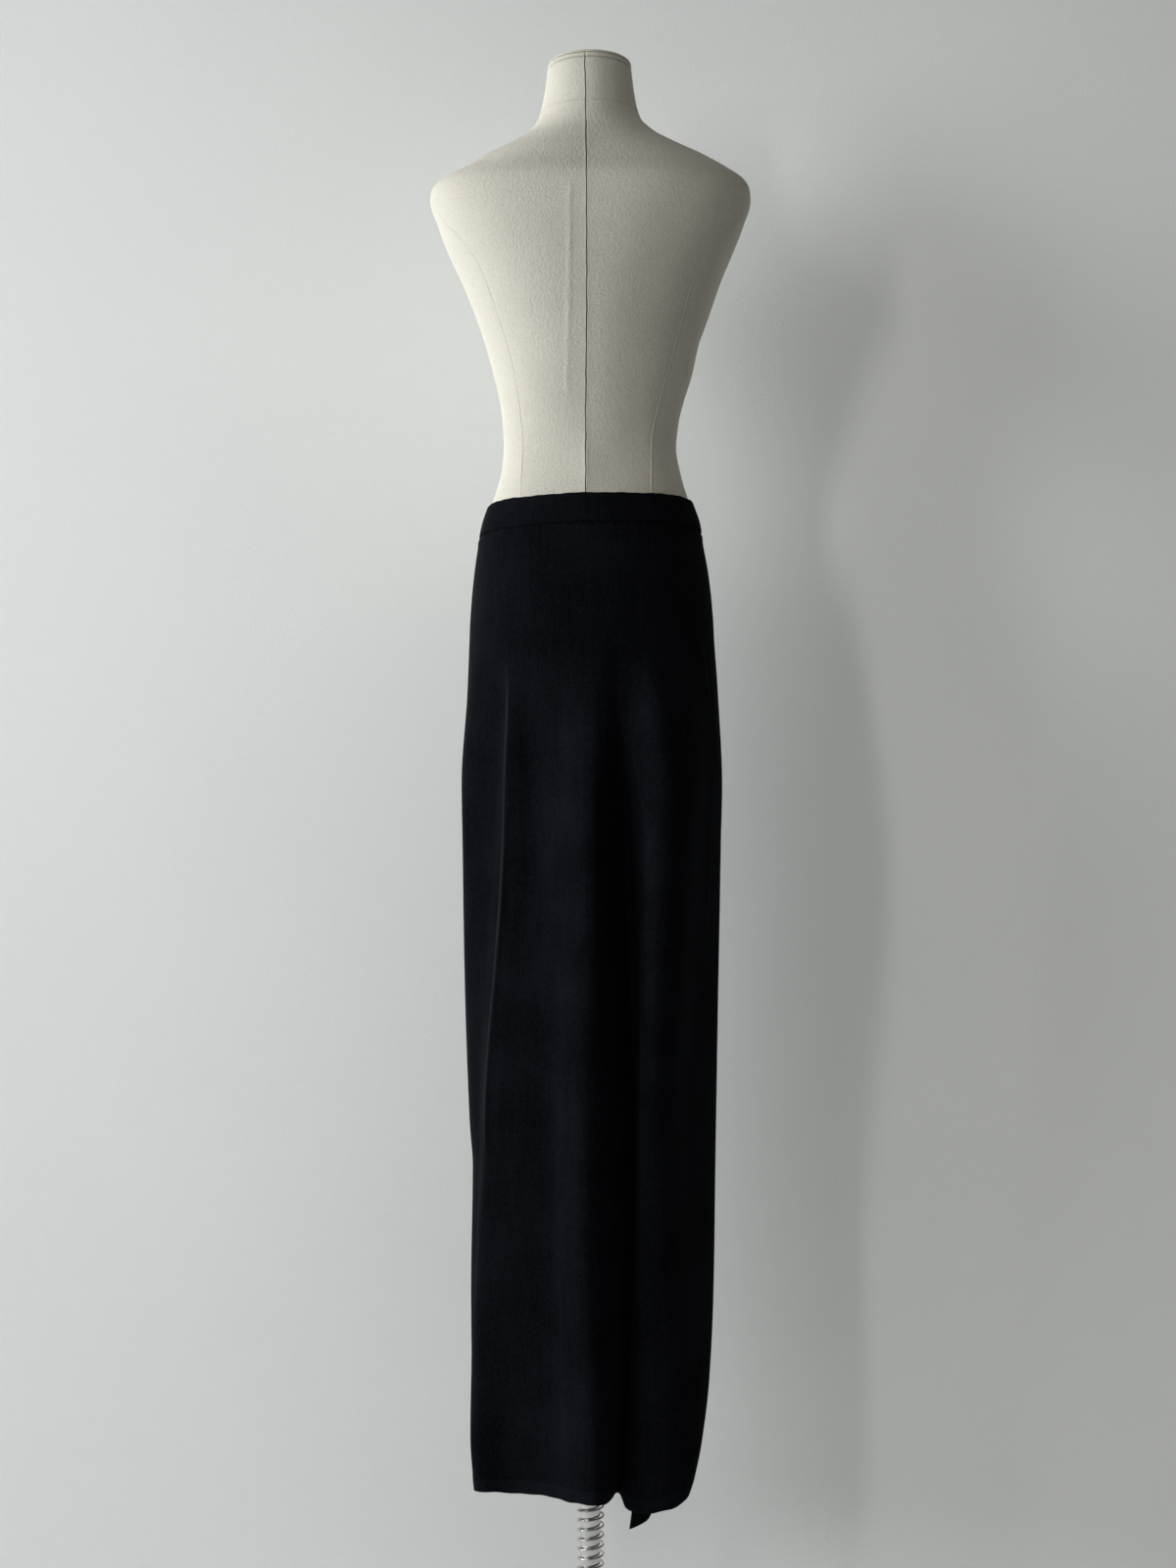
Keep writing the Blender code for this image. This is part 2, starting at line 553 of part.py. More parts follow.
def make_stand(collection, chrome, steel, grey):
    """Base plate, hub, pole, the spring round it and the collar that holds the spring down."""
    turned("base_plate", ((0.0, BASE_THICK), (BASE_RADIUS - BASE_CHAMFER, BASE_THICK),
                          (BASE_RADIUS, BASE_THICK - BASE_CHAMFER), (BASE_RADIUS, 0.0), (0.0, 0.0)),
           collection, grey)
    bore = POLE_RADIUS + POLE_BORE_GAP
    foot = BASE_THICK + PART_GAP
    hub_top = foot + HUB_HEIGHT
    turned("hub", ((bore, hub_top), (HUB_TOP_RADIUS - HUB_CHAMFER, hub_top),
                   (HUB_TOP_RADIUS, hub_top - HUB_CHAMFER), (HUB_TOP_RADIUS, foot + HUB_TAPER),
                   (HUB_RADIUS, foot + HUB_FOOT), (HUB_RADIUS, foot), (bore, foot), (bore, hub_top)),
           collection, chrome)
    pole_top = BODY[0].height - BOARD_THICK - 2 * PART_GAP
    turned("pole", ((0.0, pole_top), (POLE_RADIUS, pole_top), (POLE_RADIUS, foot), (0.0, foot)),
           collection, chrome)
    spring_foot = hub_top + SPRING_WIRE + PART_GAP
    make_spring(spring_foot, collection, steel)
    collar_foot = spring_foot + SPRING_TURNS * SPRING_PITCH + SPRING_WIRE + PART_GAP
    collar_top = collar_foot + COLLAR_HEIGHT
    turned("collar", ((bore, collar_top), (COLLAR_RADIUS, collar_top), (COLLAR_RADIUS, collar_foot),
                      (bore, collar_foot), (bore, collar_top)),
           collection, chrome)


def make_spring(foot, collection, steel):
    """A loose coil spring on the pole."""
    curve = bpy.data.curves.new("spring", "CURVE")
    curve.dimensions = "3D"
    curve.bevel_depth = SPRING_WIRE
    curve.bevel_resolution = 0
    curve.resolution_u = 1
    curve.use_fill_caps = True
    steps = SPRING_TURNS * SPRING_STEPS
    spline = curve.splines.new("POLY")
    spline.points.add(steps)
    for i in range(steps + 1):
        angle = math.tau * i / SPRING_STEPS
        height = foot + SPRING_PITCH * i / SPRING_STEPS
        spline.points[i].co = (SPRING_RADIUS * math.cos(angle), -SPRING_RADIUS * math.sin(angle),
                               height, 1.0)
    place("spring", curve, collection, steel)


def main():
    """Build every sub-part in one collection."""
    remove_old_objects()
    collection = bpy.data.collections.new("maxi_skirt_on_dress_form")
    bpy.context.scene.collection.children.link(collection)
    made = {row.name: principled(row) for row in FINISHES}
    make_waistband(collection, made["black_rib"])
    make_panels(collection, made["black_knit"])
    make_hem_band(collection, made["black_rib"])
    make_torso(collection, made["cream_canvas"])
    make_neck_cap(collection, made["cap_canvas"])
    make_form_board(collection, made["board"])
    make_stand(collection, made["chrome"], made["spring_steel"], made["base_metal"])


main()
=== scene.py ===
# %% [markdown]
# # A maxi skirt on a dress form
# A long black skirt in fine brushed jersey hangs on a limbless dress form covered in cream
# canvas.  The packed solids are the frame: they hold every size and stay where they are.  This
# lesson makes the fine surfaces over them, one piece at a time: knit panels with their folds,
# a waistband, a hem band, seams and stitches, padded canvas, and a chrome stand.
#
# The model stands on the floor at z = 0, under the pole.  +Y is the wearer's back, -Y the front
# and +X the wearer's left.  All sizes are in metres.

# %% Load the frame
import json
import math
from collections import namedtuple
from functools import lru_cache

import bmesh
import bpy
import numpy as np
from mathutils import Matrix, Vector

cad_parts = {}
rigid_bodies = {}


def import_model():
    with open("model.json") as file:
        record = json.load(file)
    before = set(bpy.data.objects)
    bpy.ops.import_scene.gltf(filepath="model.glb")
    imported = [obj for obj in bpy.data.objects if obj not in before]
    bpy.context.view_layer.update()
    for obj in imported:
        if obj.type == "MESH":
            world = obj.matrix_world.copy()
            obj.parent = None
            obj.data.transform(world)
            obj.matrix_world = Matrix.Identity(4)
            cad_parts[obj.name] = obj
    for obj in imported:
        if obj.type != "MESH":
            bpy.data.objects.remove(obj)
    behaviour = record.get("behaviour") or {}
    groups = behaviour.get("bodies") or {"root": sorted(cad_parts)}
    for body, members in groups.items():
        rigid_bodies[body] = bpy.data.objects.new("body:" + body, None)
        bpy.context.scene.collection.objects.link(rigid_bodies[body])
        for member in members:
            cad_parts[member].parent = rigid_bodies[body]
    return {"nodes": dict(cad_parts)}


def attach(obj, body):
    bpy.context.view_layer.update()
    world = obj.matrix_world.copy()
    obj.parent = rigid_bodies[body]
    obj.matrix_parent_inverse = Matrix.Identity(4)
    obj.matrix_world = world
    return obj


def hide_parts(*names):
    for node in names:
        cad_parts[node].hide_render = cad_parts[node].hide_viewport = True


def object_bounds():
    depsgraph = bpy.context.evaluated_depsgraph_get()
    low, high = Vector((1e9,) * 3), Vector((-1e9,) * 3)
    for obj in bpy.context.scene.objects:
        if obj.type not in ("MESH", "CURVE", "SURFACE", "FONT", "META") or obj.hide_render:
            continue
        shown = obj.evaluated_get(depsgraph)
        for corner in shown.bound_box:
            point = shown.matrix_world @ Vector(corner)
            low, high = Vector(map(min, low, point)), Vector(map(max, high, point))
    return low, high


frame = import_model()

cad_box = [list(corner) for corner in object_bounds()]
print("the solids reach from", cad_box[0], "to", cad_box[1])

# %% [markdown]
# ## Camera
# A garment is shown best from about its own middle height, some steps away, with a lens that
# is a little longer than normal, so that the hem and the neck aren't stretched.  The camera
# looks at the back and is tilted up by a few degrees.  It could follow an empty with a Track To
# constraint, but a place and a turn are easier to read, and nothing here moves.

# %% Camera
CAMERA_PLACE = (0.0028, 2.72, 0.89)
CAMERA_TILT = 3.335            # degrees upwards
CAMERA_LENS = 54.07            # millimetres, for a frame 36 mm along its longer side

lens = bpy.data.cameras.new("camera")
lens.sensor_width = 36.0
lens.lens = CAMERA_LENS
camera = bpy.data.objects.new("camera", lens)
camera.location = CAMERA_PLACE
camera.rotation_euler = (math.radians(90 + CAMERA_TILT), 0.0, math.radians(180))
bpy.context.scene.collection.objects.link(camera)
bpy.context.scene.camera = camera
print("angle of view up and down:", round(math.degrees(2 * math.atan(18 / CAMERA_LENS)), 1))

# %% [markdown]
# ## Values as Python
# A finish is a network of shader nodes, and a pattern is a tree of geometry nodes.  Both can be
# drawn in the editor, but sums read better as sums.  So one class wraps a socket, and + - * /
# on it add Math nodes.  Its method node adds any node: settings first, then inputs.  The other
# methods are short for the nodes that are used most.

# %% One class for sockets
class Value:
    """One socket of a node tree, with the operators that the finishes use."""

    def __init__(self, tree, socket=None):
        self.tree = tree
        self.socket = socket

    def node(self, kind, settings=None, inputs=None, output=0):
        """Add a node of any kind; an input is a number, a colour or another Value."""
        made = self.tree.nodes.new(kind)
        for name, setting in (settings or {}).items():
            setattr(made, name, setting)
        for name, given in (inputs or {}).items():
            if isinstance(given, Value):
                self.tree.links.new(given.socket, made.inputs[name])
            else:
                made.inputs[name].default_value = given
        return Value(self.tree, made.outputs[output])

    def out(self, name):
        """Another output of the same node."""
        return Value(self.tree, self.socket.node.outputs[name])

    def math(self, operation, *values):
        """A Math node on one, two or three values."""
        return self.node("ShaderNodeMath", {"operation": operation}, dict(enumerate(values)))

    def __add__(self, other):
        return self.math("ADD", self, other)

    __radd__ = __add__

    def __sub__(self, other):
        return self.math("SUBTRACT", self, other)

    def __rsub__(self, other):
        return self.math("SUBTRACT", other, self)

    def __mul__(self, other):
        return self.math("MULTIPLY", self, other)

    __rmul__ = __mul__

    def __truediv__(self, other):
        return self.math("DIVIDE", self, other)

    def __abs__(self):
        return self.math("ABSOLUTE", self)

    def ramp(self, low, high):
        """0 below low, 1 above high, and a soft slope between them."""
        return self.node("ShaderNodeMapRange", {"interpolation_type": "SMOOTHSTEP"},
                         {"Value": self, "From Min": low, "From Max": high})

    def mix(self, colour, other):
        """The first colour where this value is 0 and the other where it is 1."""
        settings = {"data_type": "RGBA", "clamp_factor": True}
        return self.node("ShaderNodeMix", settings, {0: self, 6: colour, 7: other}, output=2)

    def noise(self, scale, detail=2.0, rough=0.5):
        """Soft noise from 0 to 1, read at this vector."""
        inputs = {"Vector": self, "Scale": scale, "Detail": detail, "Roughness": rough}
        return self.node("ShaderNodeTexNoise", {"noise_dimensions": "3D"}, inputs)

    def stretched(self, across, along, depth=1.0):
        """This vector with its axes scaled unequally, so that a pattern on it runs in streaks."""
        return self.node("ShaderNodeMapping", None, {"Vector": self, "Scale": (across, along, depth)})


print("besides + - * / a Value has:", [name for name in vars(Value) if not name.startswith("_")])

# %% [markdown]
# ## Helpers for finishes
# Each finish starts as a Principled BSDF.  What is the same all over the surface, such as a
# fabric's sheen, is a plain number on the shader's own socket.  What changes over the surface
# is linked: colour, roughness, and a Bump node for relief too fine to be modelled.

# %% Finish helpers
def tone(red, green, blue):
    """A colour with full alpha."""
    return (red, green, blue, 1.0)


def finish(name, constants):
    """A new Principled material; returns it, its shader and the object's own coordinates."""
    material = bpy.data.materials.new(name)
    material.use_nodes = True
    shader = material.node_tree.nodes["Principled BSDF"]
    for socket, number in constants.items():
        shader.inputs[socket].default_value = number
    return material, shader, Value(material.node_tree).node("ShaderNodeTexCoord", output="Object")


def cloth_map(place):
    """The map named cloth, in metres: the whole vector, then its u and its v."""
    cloth = place.node("ShaderNodeUVMap", {"uv_map": "cloth"})
    parts = place.node("ShaderNodeSeparateXYZ", None, {0: cloth})
    return cloth, parts, parts.out("Y")


def noted(place, name):
    """A number that the mesh's points carry under a name."""
    return place.node("ShaderNodeAttribute", {"attribute_name": name}, output="Fac")


def feed(shader, **links):
    """Link values to the shader's sockets; base_color goes to Base Color."""
    for name, given in links.items():
        socket = shader.inputs[name.replace("_", " ").title()]
        given.tree.links.new(given.socket, socket)


def relief(height, depth, strength=1.0):
    """A Bump node: height from 0 to 1 over a depth in metres."""
    inputs = {"Height": height, "Distance": depth, "Strength": strength}
    return height.node("ShaderNodeBump", None, inputs)


print("a white in these tones is", tone(1, 1, 1))

# %% [markdown]
# ## The knit
# Jersey is rows of loops.  From the right side each column of loops, a wale, looks like a
# chain of small V shapes, and brushing lifts a haze of fibre over it.  The haze gives a black
# skirt its soft grey sheen where light grazes it.  A picture of knit could be used, but sums on
# the cloth's own map hold at any distance: u runs round the skirt and v up it, in metres.  An
# attribute of the mesh is 1 along a few creases, and there a paler tone paints the highlight
# that the edge of the fold catches.

# %% Black jersey and black double knit
# Painted highlight: the paler tone along a few creases, where the fuzz on a fold's edge catches light.
CREASE_HIGHLIGHT_TONE = tone(0.0165, 0.0175, 0.0205)
FIBRE_HAZE = (620.0, 4.0, 0.72)    # a noise's scale, detail and roughness
WALE_STREAKS = (420.0, 14.0)       # streaks are short round the skirt and long up it
KNIT_BASE = {"Roughness": 0.85, "Specular IOR Level": 0.006, "Sheen Weight": 0.010,
             "Sheen Roughness": 0.40, "Sheen Tint": tone(0.88, 0.93, 1.0)}


def knit(name, colour, pale, wale, course, depth):
    """Fine black knit: V-shaped loops on the map, streaks along the wales, and haze."""
    material, shader, place = finish(name, KNIT_BASE)
    cloth, u, v = cloth_map(place)
    # One loop: its two legs stand apart across the wale and slant along the course.
    wales = u / wale
    across = abs(wales.math("FRACT", wales) - 0.5) * 2
    slant = v / course + across * 0.5
    row = slant.math("FRACT", slant) * 2 - 1
    leg = across * 2 - 1
    loop = (1 - leg * leg) * (1 - 0.6 * (row * row))
    # Tone: streaks along the wales, a haze of fibre, and patches a few centimetres wide.
    streaks = cloth.stretched(*WALE_STREAKS).noise(1.0, 3.0, 0.6)
    haze = place.noise(*FIBRE_HAZE)
    patches = place.noise(14.0, 2.0)
    shade = (streaks * 0.35 + haze * 1.5 + patches * 0.4) / 2.25
    coat = shade.ramp(0.36, 0.64).mix(colour, pale)
    # Painted highlight along the creases that the mesh marks.
    coat = noted(place, "pressed").mix(coat, CREASE_HIGHLIGHT_TONE)
    height = loop * 0.3 + streaks * 0.2 + haze * 1.4
    feed(shader, base_color=coat, roughness=0.78 + 0.14 * haze, normal=relief(height, depth))
    return material


# Each knit: its name, dark and pale tones, and a loop's width, height and depth.
KNITS = (
    ("brushed jersey", tone(0.0016, 0.0018, 0.0026), tone(0.0076, 0.0088, 0.0119), 0.0015, 0.0012, 0.00035),
    ("double knit", tone(0.0019, 0.0021, 0.0030), tone(0.0080, 0.0091, 0.0124), 0.0017, 0.0013, 0.00040),
    ("hem knit", tone(0.0026, 0.0030, 0.0042), tone(0.0092, 0.0107, 0.0144), 0.0017, 0.0013, 0.00040),
)
jersey, double_knit, hem_knit = (knit(*row) for row in KNITS)
print("knit finishes:", [row[0] for row in KNITS])

# %% [markdown]
# ## The canvas
# The form is covered in unbleached cotton canvas, brushed and a little nubby.  A plain weave
# is two sets of threads that pass over and under in turn, which is a product of two waves.
# The attribute named seam paints shade into open seams and grooves and paints a highlight on raised welts
# and tape.

# %% Cream canvas
THREAD_PAIR = 0.0011           # metres from one thread to the next but one
# Painted shade for open seams and grooves, and a painted highlight for raised welts and tape.
SEAM_SHADE = tone(0.12, 0.105, 0.085)
SEAM_HIGHLIGHT = tone(0.86, 0.84, 0.77)
CANVAS_BASE = {"Specular IOR Level": 0.25, "Sheen Weight": 0.10, "Sheen Roughness": 0.5,
               "Sheen Tint": tone(1.0, 0.98, 0.94)}


def canvas_finish(name, colour, shadow):
    """Plain-woven cotton with slubs, on the map named cloth."""
    material, shader, place = finish(name, CANVAS_BASE)
    cloth, u, v = cloth_map(place)
    turns = math.tau / THREAD_PAIR
    warp, weft = (at.math("SINE", at) for at in (u * turns, v * turns))
    weave = warp * weft * 0.5 + 0.5
    nubs = place.noise(330.0, 3.0, 0.65)
    slubs = cloth.stretched(60.0, 700.0).noise(1.0, 2.0)
    slubs_up = cloth.stretched(700.0, 60.0).noise(1.0, 2.0)
    wear = place.noise(9.0, 3.0)
    blend = (nubs * 1.2 + slubs * 0.5 + slubs_up * 0.5 + wear * 0.5) / 2.7
    coat = blend.ramp(0.28, 0.72).mix(shadow, colour)
    seam = noted(place, "seam")
    # Painted shade where the attribute is above 0, painted highlight where it is below 0.
    coat = (seam * -1.0).mix(seam.mix(coat, SEAM_SHADE), SEAM_HIGHLIGHT)
    height = weave * 0.2 + nubs * 1.0 + slubs * 0.1 + slubs_up * 0.1
    feed(shader, base_color=coat, roughness=0.74 + 0.16 * nubs, normal=relief(height, 0.00120))
    return material


canvas = canvas_finish("cream canvas", tone(0.700, 0.672, 0.590), tone(0.600, 0.572, 0.490))
cap_canvas = canvas_finish("cap canvas", tone(0.660, 0.632, 0.550), tone(0.560, 0.532, 0.450))
print("canvas finishes:", canvas.name, "and", cap_canvas.name)

# %% [markdown]
# ## Wood and metal
# The board under the form is plain wood with long grain.  The pole, hub and collar are chrome,
# which shows its surroundings, so it needs little more than faint streaks and smears in its
# roughness.  The base plate is satin steel, brushed in rings.

# %% Board, chrome, spring steel and satin steel
def board_finish():
    """Plain board: grain drawn out along x."""
    material, shader, place = finish("plain board", {"Specular IOR Level": 0.3})
    grain = place.stretched(8.0, 90.0, 90.0).noise(1.0, 5.0, 0.6)
    coat = grain.ramp(0.3, 0.7).mix(tone(0.10, 0.065, 0.040), tone(0.22, 0.155, 0.100))
    feed(shader, base_color=coat, roughness=0.55 + 0.3 * grain, normal=relief(grain, 0.0004))
    return material


def metal_finish(name, colour, dull, low, high, streaks):
    """Bright metal whose roughness runs from low to high in streaks."""
    material, shader, place = finish(name, {"Metallic": 1.0})
    lines = place.stretched(*streaks).noise(1.0, 4.0, 0.6)
    smears = place.noise(35.0, 3.0)
    coat = smears.ramp(0.35, 0.75).mix(colour, dull)
    rough = low + (high - low) * (lines * 0.6 + smears * 0.4)
    feed(shader, base_color=coat, roughness=rough, normal=relief(lines, 0.00004))
    return material


RINGS_PER_METRE = 2200.0


def ringed_steel():
    """Satin steel brushed in rings about the pole."""
    material, shader, place = finish("satin steel", {"Metallic": 1.0})
    flat = place.stretched(1.0, 1.0, 0.0)
    radius = place.node("ShaderNodeVectorMath", {"operation": "LENGTH"}, {0: flat}, "Value")
    at = place.node("ShaderNodeCombineXYZ", None, {0: radius * RINGS_PER_METRE})
    rings = at.noise(1.0, 3.0, 0.7)
    smears = place.noise(12.0, 3.0)
    coat = smears.ramp(0.3, 0.8).mix(tone(0.56, 0.56, 0.55), tone(0.44, 0.44, 0.43))
    feed(shader, base_color=coat, roughness=0.26 + 0.2 * rings, normal=relief(rings, 0.00005))
    return material


board = board_finish()
chrome = metal_finish("chrome", tone(0.80, 0.80, 0.79), tone(0.68, 0.68, 0.67), 0.06, 0.20,
                      (300.0, 300.0, 12.0))
spring_steel = metal_finish("spring steel", tone(0.62, 0.62, 0.61), tone(0.42, 0.41, 0.40),
                            0.12, 0.34, (500.0, 500.0, 500.0))
satin_steel = ringed_steel()
print("hard finishes:", [each.name for each in (board, chrome, spring_steel, satin_steel)])

# %% [markdown]
# ## Curves through tables
# The cut of a garment is a short table of sizes, and the surface between the rows is a smooth
# curve.  A plain cubic can overshoot between unequal rows, which would dent the cloth.  This
# curve takes the slope at each row from its neighbours and never passes beyond them.

# %% Smooth curves and sections
def hermite(u, start, end, start_slope, end_slope):
    """Cubic from start to end with the given slopes at u = 0 and u = 1."""
    rising = u * u * (3 - 2 * u)
    return (start * (1 - rising) + end * rising
            + start_slope * u * (1 - u) ** 2 - end_slope * u * u * (1 - u))


def curve_through(knots, values, at):
    """Smooth curve through a table, with no overshoot, read at one value or at many."""
    knots = np.asarray(knots, dtype=float)
    values = np.asarray(values, dtype=float)
    at = np.clip(at, knots[0], knots[-1])
    step = np.diff(knots)
    rise = np.diff(values) / step
    slope = np.zeros_like(values)
    slope[0] = rise[0]
    slope[-1] = rise[-1]
    for i in range(1, len(knots) - 1):
        if rise[i - 1] * rise[i] > 0:
            near = 2 * step[i] + step[i - 1]
            far = step[i] + 2 * step[i - 1]
            slope[i] = (near + far) / (near / rise[i - 1] + far / rise[i])
    i = np.clip(np.searchsorted(knots, at, side="right") - 1, 0, len(step) - 1)
    u = (at - knots[i]) / step[i]
    return hermite(u, values[i], values[i + 1], slope[i] * step[i], slope[i + 1] * step[i])


def soft_step(value, low, high):
    """0 up to low, 1 from high, and a soft slope between them."""
    share = np.clip((value - low) / (high - low), 0.0, 1.0)
    return share * share * (3 - 2 * share)


def section(turn, left, right, back, front, square):
    """Points of a closed section; turn is in degrees from the centre back towards the left."""
    angle = np.radians(np.asarray(turn, dtype=float))
    power = 2.0 / square
    across = np.sign(np.sin(angle)) * np.abs(np.sin(angle)) ** power
    along = np.sign(np.cos(angle)) * np.abs(np.cos(angle)) ** power
    x = across * np.where(across > 0, left, right)
    y = along * np.where(along > 0, back, front)
    return np.stack([x, y], axis=-1)


def table_sizes(rows, columns, height):
    """The named columns of a table at one height or at many."""
    ordered = sorted(rows, key=lambda row: row.height)
    knots = [row.height for row in ordered]
    return [curve_through(knots, [getattr(row, column) for row in ordered], height)
            for column in columns]


print("a curve through 0, 1 and 4, halfway to each:", curve_through([0, 1, 2], [0, 1, 4], [0.5, 1.5]))

# %% [markdown]
# ## The form's sizes
# The torso is a stack of sections, each an ellipse that is a little squared.  The table gives
# its half widths and depths from the pole's axis.  It is the same table that the solid torso
# was built from, because the skirt's upper part takes its shape from it too.

# %% Sizes of the dress form
Body = namedtuple("Body", "name height left right back front square")
BODY = [Body(*row) for row in (
    ("underside", 1.120, 0.1230, 0.1250, 0.100, 0.088, 2.2),
    ("under_seat", 1.150, 0.1320, 0.1345, 0.114, 0.097, 2.2),
    ("seat", 1.190, 0.1362, 0.1395, 0.1235, 0.105, 2.2),
    ("hip", 1.220, 0.1364, 0.1398, 0.1245, 0.107, 2.2),
    ("high_hip", 1.255, 0.1348, 0.1378, 0.1215, 0.108, 2.2),
    ("belly", 1.290, 0.1318, 0.1340, 0.1135, 0.108, 2.2),
    ("low_belly", 1.325, 0.1270, 0.1279, 0.1025, 0.106, 2.2),
    ("band", 1.348, 0.1222, 0.1238, 0.093, 0.103, 2.2),
    ("band_top", 1.378, 0.1130, 0.1142, 0.0805, 0.098, 2.2),
    ("low_waist", 1.410, 0.1040, 0.1050, 0.0715, 0.0945, 2.2),
    ("waist", 1.441, 0.1010, 0.0998, 0.068, 0.093, 2.2),
    ("over_waist", 1.469, 0.1023, 0.1026, 0.070, 0.094, 2.2),
    ("rib", 1.497, 0.1058, 0.1092, 0.076, 0.098, 2.2),
    ("high_rib", 1.525, 0.1123, 0.1180, 0.083, 0.104, 2.2),
    ("under_bust", 1.561, 0.1222, 0.1264, 0.090, 0.113, 2.2),
    ("chest", 1.597, 0.1343, 0.1383, 0.096, 0.121, 2.3),
    ("bust", 1.637, 0.1502, 0.1520, 0.1010, 0.124, 2.4),
    ("underarm", 1.681, 0.1698, 0.1702, 0.1025, 0.117, 2.55),
    ("arm_plate", 1.709, 0.1802, 0.1808, 0.1005, 0.107, 2.6),
    ("shoulder_end", 1.731, 0.1876, 0.1876, 0.0965, 0.096, 2.55),
    ("shoulder_tip", 1.742, 0.1858, 0.1870, 0.0935, 0.090, 2.5),
    ("shoulder", 1.751, 0.1765, 0.1830, 0.0903, 0.085, 2.45),
    ("mid_shoulder", 1.762, 0.1570, 0.1685, 0.0857, 0.078, 2.38),
    ("slope", 1.779, 0.1310, 0.1405, 0.0778, 0.068, 2.27),
    ("neck_slope", 1.795, 0.1000, 0.1075, 0.0695, 0.059, 2.15),
    ("neck_root", 1.811, 0.0745, 0.0790, 0.0605, 0.053, 2.05),
    ("low_neck", 1.830, 0.0616, 0.0600, 0.0525, 0.052, 2.0),
    ("mid_neck", 1.856, 0.0547, 0.0525, 0.045, 0.056, 2.0),
    ("neck", 1.880, 0.0512, 0.0492, 0.038, 0.061, 2.0),
    ("neck_top", 1.891, 0.0496, 0.0480, 0.035, 0.063, 2.0),
)]


def body_section(turn, height, ease=0.0):
    """Points round the torso at a height, moved out by the ease."""
    left, right, back, front, square = table_sizes(
        BODY, ("left", "right", "back", "front", "square"), height)
    return section(turn, left + ease, right + ease, back + ease, front + ease, square)


print("the form is", len(BODY), "sections and", round(BODY[-1].height - BODY[0].height, 3), "m high")

# %% [markdown]
# ## The skirt's sizes and folds
# Over the hips the knit has the form's own shape.  Below them it hangs as a tube of its own,
# and gravity draws it into folds that start softly under the seat and run to the hem.  A cloth
# simulation would find folds of its own, in other places, so each fold line is given in a table:
# where it passes at the seat, the thigh, the knee and the hem.  A fitting program worked out the
# places at the seat and adjusted those of the back's folds at the thigh and the knee.

# %% Sizes of the skirt
PANEL_WALL = 0.0022
BAND_WALL = 0.0032
HEM_WALL = 0.0023
FIT_GAP = 0.0010           # between the form and the cloth that hugs it
BAND_TOP = 1.3735
BAND_HEIGHT = 0.0360
BAND_TILT = 0.025          # the band rises towards the wearer's right
HIP_LINE = 1.220
SEAT_LINE = 1.105
THIGH_LINE = 0.980
KNEE_LINE = 0.660
SLIT_TOP = 0.630
HEM_LINE = 0.2520
HEM_BAND = 0.0160
SIDE_SQUARE = 2.2
TAIL_REACH = (0.032, 0.058)   # how far the slit's corner swings inwards at the hem
TAIL_DROP = 0.051
TAIL_SWING = 1.9           # radians of the sine by which the corner swings sideways
SLIT_CURVE = 1.5           # above 1, the slit opens slowly at first
SLIT_FREE = 0.25           # opened this far, its two edges have slopes of their own
CALM_HEIGHT = 0.1          # a push of nothing this far over a fold's start lets it start softly
SEAM_LINE = BAND_TOP - BAND_HEIGHT
print("the skirt is", round(BAND_TOP - HEM_LINE, 3), "m from band to hem")

# %% Half widths and depths of its tube
Outline = namedtuple("Outline", "name height left right back front")
OUTLINE = [Outline(*row) for row in (
    ("under_seat", 1.150, 0.1422, 0.1478, 0.127, 0.110),
    ("fullest", 1.050, 0.1482, 0.1520, 0.128, 0.110),
    ("thigh", 0.980, 0.1470, 0.1500, 0.128, 0.110),
    ("over_knee", 0.840, 0.1445, 0.1470, 0.126, 0.108),
    ("knee", 0.660, 0.1385, 0.1440, 0.124, 0.106),
    ("below_knee", 0.610, 0.1350, 0.1430, 0.122, 0.105),
    ("calf", 0.476, 0.1365, 0.1400, 0.118, 0.102),
    ("low_calf", 0.376, 0.1355, 0.1345, 0.115, 0.100),
    ("ankle", 0.310, 0.1355, 0.1262, 0.112, 0.098),
    ("over_hem", 0.270, 0.1330, 0.1175, 0.110, 0.097),
    ("hem", 0.235, 0.1290, 0.1040, 0.110, 0.096),
)]
print("its fullest is", max(row.left + row.right for row in OUTLINE), "m wide")

